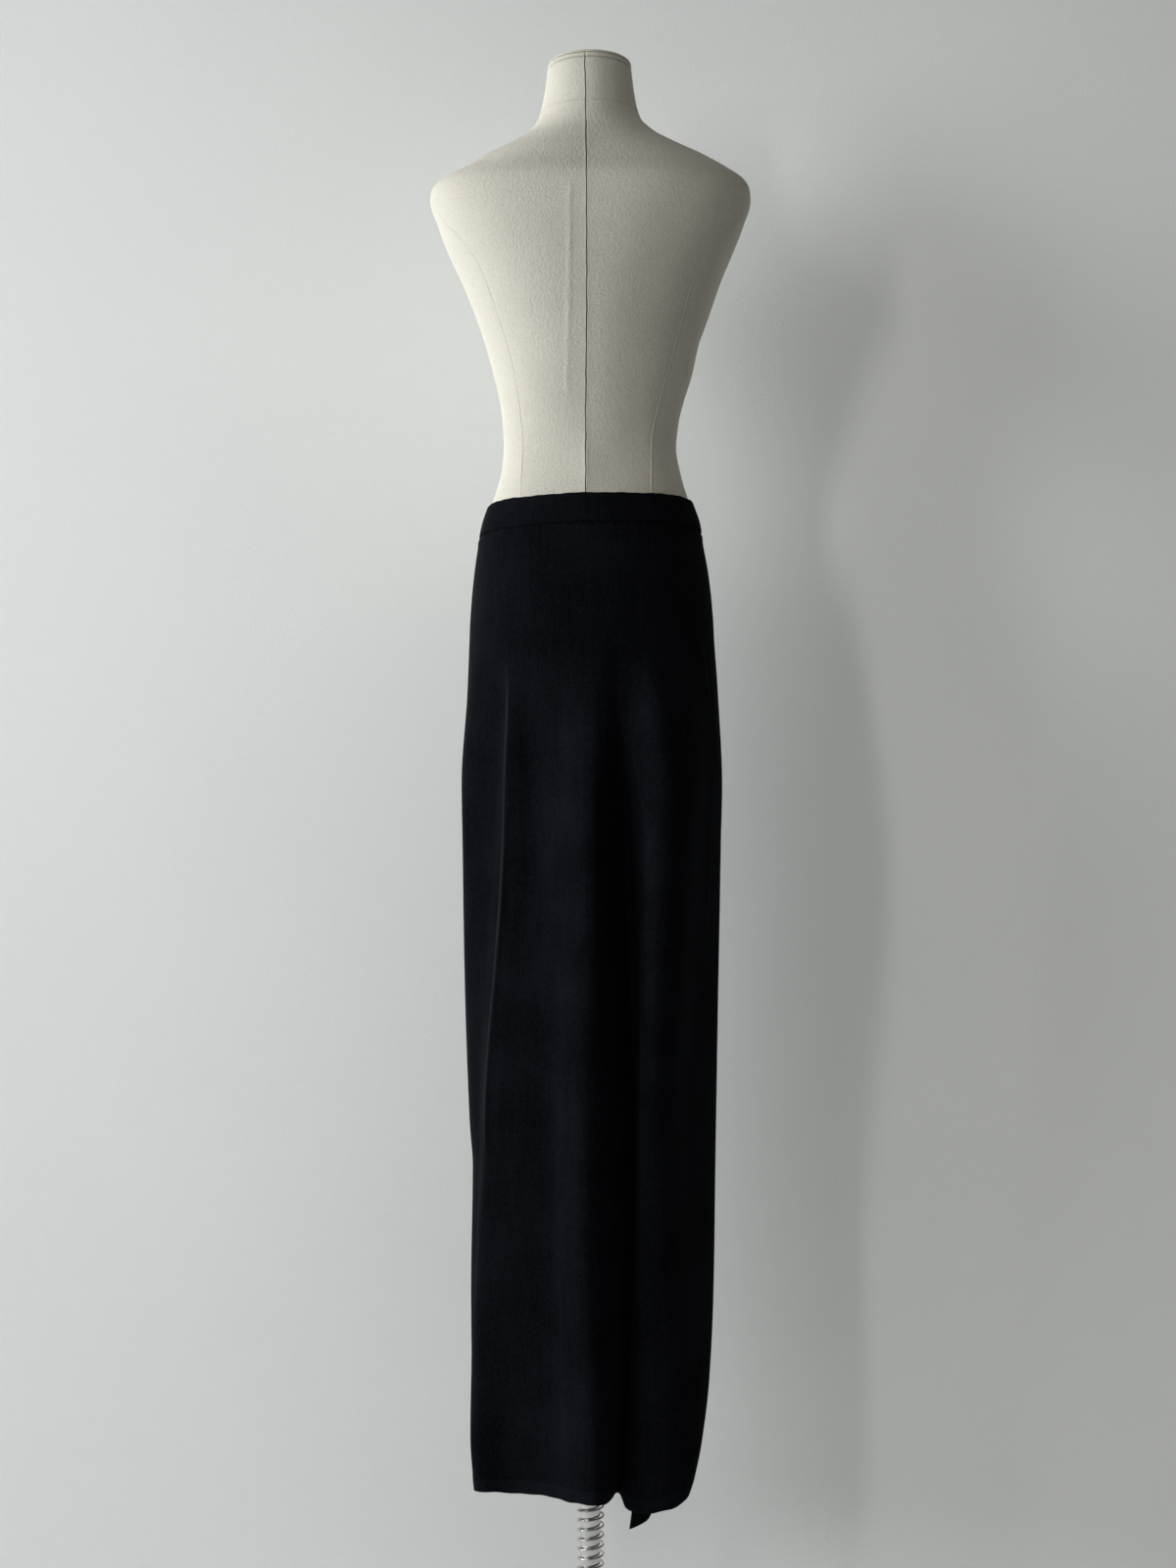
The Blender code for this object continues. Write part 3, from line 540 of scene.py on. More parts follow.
# %% Lines of its folds
# Each fold: its turn and where it starts, the places (x, y) that it passes, how far it drops
# where the slit is open, and how crisp it is.
Fold = namedtuple("Fold", "name turn starts seat thigh knee hem drop crisp")
FOLDS = [Fold(*row) for row in (
    ("slit", 220, 1.1,
     (-0.1006, -0.0863), (-0.094, -0.086), (-0.089, -0.084), (-0.074, -0.074), 0.004, 0.2),
    ("front_right_crest", 200, 1.14,
     (-0.0562, -0.1045), (-0.052, -0.11), (-0.046, -0.113), (-0.036, -0.104), 0, 0.0),
    ("front_hollow", 182, 1.12,
     (-0.0071, -0.1097), (-0.006, -0.1), (-0.004, -0.09), (0.0, -0.08), 0, 0.0),
    ("front_left_crest", 160, 1.14,
     (0.0537, -0.1049), (0.046, -0.113), (0.048, -0.116), (0.046, -0.108), 0, 0.1),
    ("front_left_hollow", 138, 1.08,
     (0.1009, -0.084), (0.092, -0.084), (0.088, -0.072), (0.086, -0.062), 0, 0.0),
    ("front_left", 115, 1.1,
     (0.1329, -0.0503), (0.128, -0.054), (0.122, -0.056), (0.118, -0.046), 0, 0.0),
    ("left_seam", 93, 1.16,
     (0.1452, -0.008), (0.147, -0.01), (0.138, -0.012), (0.13, -0.01), 0, 0.0),
    ("left_bulge", 72, 1.16,
     (0.1399, 0.042), (0.145, 0.034), (0.134, 0.024), (0.131, 0.014), 0, 0.0),
    ("left_groove", 50, 1.205,
     (0.1026, 0.0773), (0.1125, 0.0595), (0.1266, 0.0461), (0.133, 0.0295), 0, 0.0),
    ("left_ridge", 39, 1.212,
     (0.0917, 0.0998), (0.098, 0.0864), (0.1167, 0.0776), (0.129, 0.0435), 0, 0.8),
    ("left_hollow", 27, 1.212,
     (0.0676, 0.1038), (0.0618, 0.0928), (0.083, 0.0907), (0.092, 0.046), 0, 0.0),
    ("back_slope", 13, 1.21,
     (0.0345, 0.1149), (0.0398, 0.1067), (0.0434, 0.0993), (0.043, 0.067), 0, 0.0),
    ("crest_left", 4, 1.21,
     (0.0166, 0.1256), (0.0133, 0.1313), (0.0265, 0.1173), (0.0185, 0.094), 0, 0.0),
    ("back_crest", -2, 1.21,
     (-0.002, 0.132), (-0.0016, 0.1361), (0.0038, 0.1289), (-0.007, 0.106), 0, 0.0),
    ("crest_right", -6, 1.212,
     (-0.0163, 0.129), (-0.0114, 0.1294), (-0.0192, 0.1142), (-0.02, 0.085), 0, 0.0),
    ("valley", -10, 1.215,
     (-0.033, 0.1182), (-0.0386, 0.0926), (-0.0474, 0.0667), (-0.029, 0.044), 0, 0.4),
    ("lobe_lip", -17, 1.215,
     (-0.0484, 0.125), (-0.0632, 0.1295), (-0.0551, 0.1016), (-0.0375, 0.0625), 0.013, 0.0),
    ("right_crest", -25, 1.215,
     (-0.0776, 0.1355), (-0.0838, 0.1365), (-0.0685, 0.1122), (-0.056, 0.0735), 0.0168, 0.0),
    ("right_line", -35, 1.21,
     (-0.1045, 0.1215), (-0.104, 0.1253), (-0.0857, 0.1045), (-0.078, 0.0755), 0.0124, 0.4),
    ("right_flank", -55, 1.205,
     (-0.1317, 0.0795), (-0.1289, 0.0727), (-0.111, 0.0672), (-0.098, 0.065), 0.0053, 0.0),
    ("right_edge", -76, 1.16,
     (-0.1469, 0.0329), (-0.149, 0.024), (-0.143, 0.018), (-0.105, 0.04), 0, 0.2),
    ("right_seam", -93, 1.16,
     (-0.15, -0.0083), (-0.149, -0.012), (-0.142, -0.016), (-0.1, 0.0), 0.004, 0.0),
    ("front_right", -116, 1.12,
     (-0.1362, -0.0521), (-0.13, -0.055), (-0.124, -0.056), (-0.09, -0.04), 0.019, 0.0),
    ("slit_curl", -126, 1.11,
     (-0.1239, -0.0679), (-0.1164, -0.0691), (-0.1107, -0.0685), (-0.0828, -0.0702), 0.0136, 0.0),
    ("slit_side", -134, 1.10,
     (-0.1114, -0.0790), (-0.1041, -0.0789), (-0.0988, -0.0771), (-0.0856, -0.0744), 0.009, 0.0),
)]
TAIL_SHARE = {"slit_curl": 0.4, "slit_side": 0.8}   # how far these follow the slit's corner
print(len(FOLDS), "fold lines, of which", sum(fold.crisp > 0 for fold in FOLDS), "are crisp")

# %% [markdown]
# ## From sizes to a ring of cloth
# At each height the skirt is a closed ring: the plain tube, pushed to its fold lines, with
# smooth cubics between them.  A crisp fold has no slope of its own, so that it comes to a
# crease.  Under the slit's top the ring opens, and its free corner swings in and hangs lower.
# A ring costs a few milliseconds and is asked for by several pieces, so it is kept.

# %% The tube without folds
RING_SAMPLES = 2160        # fine samples round a ring; each fold's line is on one of them
EASE = PANEL_WALL + FIT_GAP
HIPS = [row for row in BODY if HIP_LINE <= row.height < SEAM_LINE]
TUBE = list(OUTLINE) + [Outline(row.name, row.height, row.left + EASE, row.right + EASE,
                                row.back + EASE, row.front + EASE) for row in HIPS]


def tilted(turn, level, ease, fade=1.0):
    """Points on the hips along a line that rises towards the wearer's right: x, y and height."""
    across = body_section(turn, level, ease)[..., 0]
    height = level - BAND_TILT * fade * across
    return np.column_stack([body_section(turn, height, ease), height])


def skirt_tube(turn, height):
    """Points round the skirt's outer face at a height, before its folds."""
    if height >= HIP_LINE:
        fade = np.clip((height - HIP_LINE) / (SEAM_LINE - HIP_LINE), 0, 1)
        return tilted(turn, height, EASE, fade)
    left, right, back, front = table_sizes(TUBE, ("left", "right", "back", "front"), height)
    flat = section(turn, left, right, back, front, SIDE_SQUARE)
    return np.column_stack([flat, np.full(len(turn), height)])


print("the side at the knee is at", skirt_tube(np.array([90.0]), KNEE_LINE).round(4)[0])

# %% How far a fold pushes the tube
def slit_opening(height):
    """0 at the slit's top and above it, 1 at the hem."""
    share = float(np.clip((SLIT_TOP - height) / (SLIT_TOP - HEM_LINE), 0.0, 1.0))
    return share ** SLIT_CURVE


def fold_levels(fold):
    """Heights and pushes of one fold's line, from the hem up to where the tube is plain."""
    lines = ((HEM_LINE, fold.hem), (KNEE_LINE, fold.knee), (THIGH_LINE, fold.thigh),
             (SEAT_LINE, fold.seat))
    knots = [level for level, _ in lines] + [fold.starts, fold.starts + CALM_HEIGHT]
    pushes = [np.array(passes) - skirt_tube(np.array([fold.turn]), level)[0, :2]
              for level, passes in lines]
    return knots, np.array(pushes + [np.zeros(2), np.zeros(2)])


FOLD_LEVELS = {fold.name: fold_levels(fold) for fold in FOLDS}


def fold_push(fold, height):
    """How far a fold's line lies from the plain tube at a height: x, y, and down."""
    if height >= fold.starts:
        return np.zeros(3)
    knots, pushes = FOLD_LEVELS[fold.name]
    x = curve_through(knots, pushes[:, 0], height)
    y = curve_through(knots, pushes[:, 1], height)
    return np.array([x, y, fold.drop * slit_opening(height)])


print(FOLDS[0].name, "is pushed at the knee by", fold_push(FOLDS[0], KNEE_LINE).round(4))

# %% Rings of cloth
def line_slopes(turns, pushes, crisp, opened):
    """Slope of the push at each fold line; the slit's two edges come free as it opens."""
    slopes = np.zeros((len(turns), 3))
    for i in range(1, len(turns) - 1):
        slopes[i] = (pushes[i + 1] - pushes[i - 1]) / (turns[i + 1] - turns[i - 1])
    joined = (pushes[1] - pushes[-2]) / (turns[1] - turns[-2] - 360)
    free_left = (pushes[1] - pushes[0]) / (turns[1] - turns[0])
    free_right = (pushes[-1] - pushes[-2]) / (turns[-1] - turns[-2])
    free = min(1.0, opened / SLIT_FREE)
    slopes[0] = joined * (1 - free) + free_left * free
    slopes[-1] = joined * (1 - free) + free_right * free
    return slopes * (1 - np.array(crisp))[:, None]


@lru_cache(maxsize=None)
def ring(height):
    """The skirt's outer face at a height, from the slit's left edge round to its right edge."""
    turns = [fold.turn for fold in FOLDS] + [FOLDS[0].turn - 360]
    opened = slit_opening(height)
    swing = math.sin(TAIL_SWING * opened ** (1 / SLIT_CURVE)) / math.sin(TAIL_SWING)
    tail = np.array([TAIL_REACH[0] * swing, TAIL_REACH[1] * opened, TAIL_DROP * opened])
    pushes = [fold_push(fold, height) + tail * TAIL_SHARE.get(fold.name, 0.0) for fold in FOLDS]
    pushes.append(pushes[0] + tail)
    crisp = [fold.crisp for fold in FOLDS] + [FOLDS[0].crisp]
    slopes = line_slopes(turns, pushes, crisp, opened)

    samples = np.linspace(turns[0], turns[-1], RING_SAMPLES + 1)
    push = np.zeros((len(samples), 3))
    for i in range(len(turns) - 1):
        here = (samples <= turns[i]) & (samples >= turns[i + 1])
        span = turns[i + 1] - turns[i]
        u = ((samples[here] - turns[i]) / span)[:, None]
        push[here] = hermite(u, pushes[i], pushes[i + 1], slopes[i] * span, slopes[i + 1] * span)
    tube = skirt_tube(samples, height)
    points = tube + push * (1, 1, -1)
    if height < HIP_LINE:
        points[:, 0] *= np.where(points[:, 0] > 0, tube[:, 0].max() / points[:, 0].max(),
                                 tube[:, 0].min() / points[:, 0].min())
    return samples, points


@lru_cache(maxsize=None)
def arc(height):
    """Length along a ring at each sample, measured from the back crest towards the left."""
    turns, points = ring(height)
    lengths = np.linalg.norm(np.diff(points[:, :2], axis=0), axis=1)
    along = np.concatenate([[0.0], np.cumsum(lengths)])
    return np.interp(2.0, -turns, along) - along


for level in (SEAM_LINE, 1.22, 1.05, THIGH_LINE, KNEE_LINE, 0.40, HEM_LINE):
    print("girth at", round(level, 3), "is", round(float(arc(level)[0] - arc(level)[-1]), 3), "m")

# %% [markdown]
# ## A grid on the cloth
# A fine grid of points is spread over each panel.  Its columns are even between the fold lines
# and follow them down, so that a crease always lies on a column, with a few closer ones beside
# it.  Each point also carries its length along the ring, which places creases and maps the knit.

# %% Columns between the fold lines
COLUMN_WIDTH = 0.0033
NEAR_CREASE = (0.0, 0.0009, 0.0019, 0.0031, 0.0046)     # columns on and beside a crisp fold
CRISP_ENOUGH = 0.4         # a fold this crisp gets them
TURN_SLACK = 1e-6          # degrees by which a sample may miss its fold's line


def stretches(first, last):
    """Each stretch between two fold lines, from first to last: its turns, columns and creases."""
    lines = [fold.turn for fold in FOLDS] + [FOLDS[0].turn - 360]
    crisp = {fold.turn: fold.crisp >= CRISP_ENOUGH for fold in FOLDS}
    lines = [turn for turn in lines if last <= turn <= first]
    turns, at = ring(KNEE_LINE)[0], arc(KNEE_LINE)
    found = []
    for start, end in zip(lines, lines[1:]):
        length = np.interp(-start, -turns, at) - np.interp(-end, -turns, at)
        columns = max(2, round(length / COLUMN_WIDTH))
        found.append((start, end, columns, crisp.get(start, False), crisp.get(end, False)))
    return found


def spread(height, found):
    """Points of a ring along some stretches: x, y, z and the length along the ring."""
    turns, points = ring(height)
    at = arc(height)
    parts = []
    for k, (start, end, columns, crisp_start, crisp_end) in enumerate(found):
        inside = (turns <= start + TURN_SLACK) & (turns >= end - TURN_SLACK)
        stretch = points[inside]
        along = at[inside][0] - at[inside]
        low = NEAR_CREASE if crisp_start else (0.0,)
        high = NEAR_CREASE if crisp_end else (0.0,)
        even = np.linspace(low[-1], along[-1] - high[-1], columns + 1)
        wanted = np.concatenate([low[:-1], even, [along[-1] - near for near in reversed(high[:-1])]])
        part = [np.interp(wanted, along, stretch[:, axis]) for axis in range(3)]
        part.append(at[inside][0] - wanted)
        parts.append(np.column_stack(part)[min(k, 1):])
    return np.concatenate(parts)


def fold_turn(name):
    """The turn of a named fold."""
    return next(fold.turn for fold in FOLDS if fold.name == name)


SLIT, LEFT, RIGHT = fold_turn("slit"), fold_turn("left_seam"), fold_turn("right_seam")
SPANS = {"front_main": stretches(SLIT, LEFT), "back": stretches(LEFT, RIGHT),
         "front_side": stretches(RIGHT, SLIT - 360)}
print("stretches between fold lines:", {name: len(found) for name, found in SPANS.items()})

# %% Rows, and the three grids
FINE_ROW = 0.0015
ROW = 0.0046
FINE_DEPTH = 0.024         # fine rows run this far down from the waistband's seam
TUCK = 0.0014              # the panels' upper edge lies this far inside the waistband's roll
HEM_TUCK = 0.0010          # and their lower edge this far inside the hem band's
SEAM_ROWS = np.linspace(SEAM_LINE + TUCK, SEAM_LINE - FINE_DEPTH, round(FINE_DEPTH / FINE_ROW) + 1)
LONG_DROP = SEAM_ROWS[-1] - HEM_LINE - HEM_BAND + HEM_TUCK
LONG_ROWS = np.linspace(SEAM_ROWS[-1], SEAM_ROWS[-1] - LONG_DROP, round(LONG_DROP / ROW) + 1)
HEIGHTS = [float(height) for height in np.concatenate([SEAM_ROWS, LONG_ROWS[1:]])]
GRIDS = {name: np.array([spread(height, found) for height in HEIGHTS])
         for name, found in SPANS.items()}
for name, grid in GRIDS.items():
    print(name, "has", grid.shape[0], "rows and", grid.shape[1], "columns")

# %% [markdown]
# ## Creases, dimples and puckers
# On top of the folds the knit has smaller forms: a pinched ridge down the left of the back,
# faint lines where the cloth has lain folded, a soft unevenness all over, and small puckers
# where the panel was linked to the band.  Each is a gentle push along the surface's normal.
# The creases are listed in a table, each beside one of the folds.  The unevenness and
# the puckers are random, with a fixed seed.

# %% Tables of the cloth's relief
# Each crease: the fold it runs beside, its top and bottom, how far from the fold it lies at
# both, its half width, and its lift.
Crease = namedtuple("Crease", "name fold top bottom beside_top beside_bottom width lift")
CREASES = [Crease(*row) for row in (
    ("pinched_ridge", "left_ridge", 1.195, 0.600, 0.0012, 0.0010, 0.0026, 0.0020),
    ("ridge_shadow", "left_ridge", 1.160, 0.560, -0.0075, -0.009, 0.0050, -0.0007),
    ("low_back_line", "crest_left", 0.680, 0.262, 0.0140, 0.0090, 0.0042, 0.0007),
    ("high_back_line", "back_slope", 1.120, 0.760, 0.0060, -0.0020, 0.0075, 0.0006),
    ("lobe_line", "right_line", 1.000, 0.262, 0.0060, 0.0030, 0.0040, 0.0007),
    ("lobe_edge", "lobe_lip", 1.150, 0.560, 0.0030, 0.0020, 0.0052, 0.0012),
    ("edge_line", "right_flank", 1.225, 0.860, -0.0120, -0.0190, 0.0034, 0.0012),
    ("edge_groove", "right_flank", 1.205, 1.040, -0.0200, -0.0240, 0.0055, -0.0020),
    ("left_side_line", "left_bulge", 1.060, 0.420, 0.0020, -0.0060, 0.0045, 0.0008),
    ("left_front_line", "front_left", 1.010, 0.340, 0.0080, 0.0000, 0.0050, 0.0009),
    ("front_ridge", "front_left_crest", 1.130, 0.380, 0.0000, 0.0030, 0.0042, 0.0012),
    ("front_ridge_shadow", "front_left_crest", 1.090, 0.460, 0.0110, 0.0130, 0.0070, -0.0007),
    ("front_line", "front_right_crest", 1.080, 0.300, -0.0030, 0.0040, 0.0045, 0.0009),
    ("front_low_line", "front_hollow", 0.720, 0.280, 0.0160, 0.0100, 0.0055, 0.0007),
    ("right_front_line", "front_right", 1.060, 0.480, 0.0040, -0.0030, 0.0048, 0.0010),
)]
# Painted highlights: how strongly the paler tone is painted along each of these creases.
CREASE_HIGHLIGHTS = {"pinched_ridge": 1.0, "edge_line": 0.30, "front_ridge": 0.5}
CREASE_HIGHLIGHT_WIDTH = 0.0021     # half width of the painted highlight along a crease
CREASE_FADE = 0.16         # share of a crease's length over which each end fades
CREASE_SWAY = 0.0012       # how far a crease's line strays
DIMPLES = 90
DIMPLE_LIFT = 0.00055
PUCKERS = 64
PUCKER_LIFT = 0.00070
DIMPLES_FADE = 0.10        # height under the band over which creases and dimples come in
SEAM_PINCH = 0.0009        # depth to which the panel is drawn in where it is linked to the band
PINCH_BELOW = (0.0018, 0.0022)      # how far under the band the pinch is deepest, and its half height
PUCKERS_BELOW = 0.004      # how far under the band the puckers are highest
SIDE_STEPS = ((0.186, 0.0009), (-0.190, 0.0012))     # place and lift: the seam stands out at the sides
STEP_BELOW = (0.006, 0.005)         # how far under the band a step is highest, and its half height
STEP_WIDTH = 0.030
SEAM_REACH = 0.06          # none of these reaches further down than this
luck = np.random.default_rng(11)
GIRTH = float(arc(KNEE_LINE)[0] - arc(KNEE_LINE)[-1])
# A dimple: place along the ring, height, half width, half height, lift.  A pucker has no height
# of its own, because all of them lie under the band.
dimples = np.column_stack([luck.uniform(-GIRTH / 2, GIRTH / 2, DIMPLES),
                           luck.uniform(0.27, 1.30, DIMPLES), luck.uniform(0.012, 0.030, DIMPLES),
                           luck.uniform(0.035, 0.140, DIMPLES),
                           luck.uniform(-1, 1, DIMPLES) * DIMPLE_LIFT])
puckers = np.column_stack([luck.uniform(-0.375, 0.375, PUCKERS), luck.uniform(0.0026, 0.0050, PUCKERS),
                           luck.uniform(0.006, 0.020, PUCKERS),
                           luck.uniform(-1, 0.6, PUCKERS) * PUCKER_LIFT])
print(len(CREASES), "creases,", len(dimples), "dimples and", len(puckers), "puckers")

# %% Relief of the cloth
def bell(distance, width):
    """A bell curve, 1 in the middle."""
    return np.exp(-(distance / width) ** 2)


def creases_at(height):
    """Each crease at a height, with its strength and its place; each strays in its own way."""
    for k, crease in enumerate(CREASES):
        if not crease.bottom < height < crease.top:
            continue
        share = (crease.top - height) / (crease.top - crease.bottom)
        fade = soft_step(share, 0, CREASE_FADE) * soft_step(1 - share, 0, CREASE_FADE)
        line = np.interp(-fold_turn(crease.fold), -ring(height)[0], arc(height))
        sway = CREASE_SWAY * math.sin(9 * share + 2.1 * k) * (crease.beside_top != 0)
        beside = crease.beside_top * (1 - share) + crease.beside_bottom * share + sway
        yield crease, fade * (1 + 0.25 * math.sin(17 * share + k)), line + beside


def crease_lift(at, height):
    """Height of all creases at a row's lengths along the ring."""
    lift = np.zeros_like(at)
    for crease, strength, place in creases_at(height):
        lift += crease.lift * strength * bell(at - place, crease.width)
    return lift


def painted_crease_highlight(at, height):
    """How strongly a highlight is painted along the creases, from 0 to about 1."""
    pale = np.zeros_like(at)
    for crease, strength, place in creases_at(height):
        pale += CREASE_HIGHLIGHTS.get(crease.name, 0.0) * strength * bell(at - place, CREASE_HIGHLIGHT_WIDTH)
    return pale


def cloth_lift(at, height):
    """Everything that the cloth's surface has on top of its folds, in metres outwards."""
    lift = crease_lift(at, height)
    for middle, level, width, tall, size in dimples:
        if abs(height - level) < 3 * tall:
            across = (at - middle + GIRTH / 2) % GIRTH - GIRTH / 2
            lift += size * bell(across, width) * bell(height - level, tall)
    below = SEAM_LINE - height
    lift *= soft_step(below, 0.0, DIMPLES_FADE)
    if below < SEAM_REACH:
        lift -= SEAM_PINCH * bell(below - PINCH_BELOW[0], PINCH_BELOW[1])
        for middle, width, tall, size in puckers:
            lift += size * bell(at - middle, width) * bell(below - PUCKERS_BELOW, tall)
        for middle, size in SIDE_STEPS:
            lift += size * bell(at - middle, STEP_WIDTH) * bell(below - STEP_BELOW[0], STEP_BELOW[1])
    return lift


knee_lift = cloth_lift(arc(KNEE_LINE), KNEE_LINE)
print("most relief at the knee:", round(float(np.abs(knee_lift).max() * 1000), 2), "mm")

# %% Push the grids out
def outward(grid):
    """Unit normals of a grid of points whose rows run down and whose columns run to the right."""
    down = np.gradient(grid[..., :3], axis=0)
    across = np.gradient(grid[..., :3], axis=1)
    normal = np.cross(down, across)
    return normal / np.linalg.norm(normal, axis=-1, keepdims=True)


for name, grid in GRIDS.items():
    lifts = np.array([cloth_lift(row[:, 3], height) for row, height in zip(grid, HEIGHTS)])
    GRIDS[name][..., :3] += outward(grid) * lifts[..., None]
    print(name, "relief from", round(lifts.min() * 1000, 2), "to", round(lifts.max() * 1000, 2), "mm")

# %% [markdown]
# ## Sewing the panels
# Each panel is an open sheet on the cloth's outer face.  Solidify gives it the wall of the knit
# inwards, and a small Bevel rounds its edges, so that two edges that meet leave the fine groove
# of a linked seam.  The front panel is two sheets that are welded above the slit.

# %% Helpers for meshes
def grid_faces(rows, columns, first=0):
    """Faces of a grid of points, pointing out, from the number of its first point."""
    upper = (np.arange(rows - 1)[:, None] * columns + np.arange(columns - 1)[None, :]).ravel() + first
    return np.column_stack([upper, upper + columns, upper + columns + 1, upper + 1])


def skin(name, points, flat, faces, ends=()):
    """A mesh from points, faces and end faces; its map, named cloth, has one (u, v) for each point."""
    data = bpy.data.meshes.new(name)
    data.from_pydata(points.reshape(-1, 3).tolist(), [], faces.tolist() + list(ends))
    corners = np.concatenate([faces.ravel(), *ends]).astype(int)
    layer = data.uv_layers.new(name="cloth")
    layer.data.foreach_set("uv", flat.reshape(-1, 2)[corners].ravel().astype(np.float32))
    return data


def note(data, name, numbers):
    """Give each point of a mesh a number under a name, which its finish reads."""
    layer = data.attributes.new(name, "FLOAT", "POINT")
    layer.data.foreach_set("value", np.asarray(numbers, dtype=np.float32).ravel())


def show(name, data, material):
    """Add a mesh to the scene as one named piece with its finish."""
    made = bpy.data.objects.new(name, data)
    bpy.context.scene.collection.objects.link(made)
    data.materials.append(material)
    return made


def weld(data, distance=1e-6):
    """Merge points that coincide."""
    mesh = bmesh.new()
    mesh.from_mesh(data)
    bmesh.ops.remove_doubles(mesh, verts=mesh.verts, dist=distance)
    mesh.to_mesh(data)
    mesh.free()


print("a grid of 2 by 3 points has the faces", grid_faces(2, 3).tolist())

# %% Sheets of cloth
ROUND_EDGE = 0.0007
EDGE_ANGLE = 62            # only the cut edges turn by more than this


def cloth_panel(name, grids, wall, material):
    """One panel from its grids of x, y, z and length along the ring."""
    points = np.concatenate([grid[..., :3].reshape(-1, 3) for grid in grids])
    flat = np.concatenate([np.column_stack([grid[..., 3].ravel(), grid[..., 2].ravel()])
                           for grid in grids])
    faces, first = [], 0
    for grid in grids:
        faces.append(grid_faces(*grid.shape[:2], first))
        first += grid.shape[0] * grid.shape[1]
    data = skin(name, points, flat, np.concatenate(faces))
    # Painted highlight along a few creases, carried by the mesh's points.
    pale = [painted_crease_highlight(row[:, 3], height) for grid in grids for row, height in zip(grid, HEIGHTS)]
    note(data, "pressed", np.concatenate(pale))
    weld(data)
    data.shade_smooth()
    panel = show(name, data, material)
    thick = panel.modifiers.new("wall", "SOLIDIFY")
    thick.thickness = wall
    thick.offset = -1.0
    edge = panel.modifiers.new("round edges", "BEVEL")
    edge.width = ROUND_EDGE
    edge.segments = 2
    edge.limit_method = "ANGLE"
    edge.angle_limit = math.radians(EDGE_ANGLE)
    return panel


closed = np.array(HEIGHTS) >= SLIT_TOP
shared = (GRIDS["front_main"][closed, 0, :3] + GRIDS["front_side"][closed, -1, :3]) / 2
GRIDS["front_main"][closed, 0, :3] = shared
GRIDS["front_side"][closed, -1, :3] = shared
skirt_back = cloth_panel("skirt_back", [GRIDS["back"]], PANEL_WALL, jersey)
skirt_front = cloth_panel("skirt_front", [GRIDS["front_main"], GRIDS["front_side"]], PANEL_WALL, jersey)
print("faces before their walls:", len(skirt_back.data.polygons), len(skirt_front.data.polygons))

# %% [markdown]
# ## Waistband and hem band
# Both are bands of double cloth whose edges are folds, so they are round and have no cut edge.
# Solidify would leave square rims.  Instead each band is a loop of rows: down its outer face,
# round the lower edge, up the inner face and round the upper edge.

# %% Loops of rows
Loop = namedtuple("Loop", "down inset")


def band_loop(height, wall, faces=6, arcs=4):
    """The loop of rows round a band's section: how far down, and how far in from its face."""
    radius = wall / 2
    rows = [Loop(down, 0.0) for down in np.linspace(radius, height - radius, faces)]
    turn = [math.pi * i / arcs for i in range(1, arcs)]
    rows += [Loop(height - radius + radius * math.sin(a), radius - radius * math.cos(a)) for a in turn]
    rows += [Loop(down, wall) for down in np.linspace(height - radius, radius, faces)]
    rows += [Loop(radius - radius * math.sin(a), radius + radius * math.cos(a)) for a in turn]
    return rows


def band_piece(name, rows, lengths, loop, material, closed_ring):
    """Skin a loop of rows; an open band gets a face at each end."""
    grid = np.array(list(rows) + [rows[0]])
    count, columns = grid.shape[:2]
    girth = np.concatenate([[0.0], np.cumsum([abs(b.down - a.down) + abs(b.inset - a.inset)
                                              for a, b in zip(loop, loop[1:] + loop[:1])])])
    flat = np.stack(np.broadcast_arrays(lengths[None, :], -girth[:, None]), axis=-1)
    ends = [] if closed_ring else [list(range(0, (count - 1) * columns, columns)),
                                   list(range(count * columns - columns - 1, 0, -columns))]
    data = skin(name, grid, flat, grid_faces(count, columns), ends)
    weld(data)
    data.shade_smooth()
    return show(name, data, material)


print("a band's section is a loop of", len(band_loop(BAND_HEIGHT, BAND_WALL)), "rows")

# %% Waistband
BAND_COLUMNS = 720
BAND_PUFF = 0.0004         # the face is this much fuller in the middle of its height
BAND_EDGE = 0.006          # height of the part at each edge that wavers up and down
BAND_WAVES = ((0.00022, 7, 1), (0.00014, 17, 0), (0.0001, 41, 0))    # size, count and start
EDGE_WAVER = 1.6           # share of the waves that moves an edge up and down
FACE_WAVER = 4             # and, as a share of its radius, the face in and out
# Knots where the linking was pulled tight: place from the centre back in metres, and lift of the
# band's edge.
KNOTS = ((0.0808, -0.0024), (0.0775, 0.0013), (0.0742, -0.0021), (0.0300, 0.0011), (0.0270, -0.0008),
         (0.0110, -0.0016), (0.0075, 0.0013), (-0.0010, 0.0011), (-0.0035, -0.0008), (-0.0255, -0.0023),
         (-0.0290, 0.0013), (0.1010, 0.0005), (-0.0700, 0.0005), (0.0520, 0.0004))
KNOT_WIDTH = 0.0021
KNOT_RISE = 0.005          # height over which a knot pulls the band's edge


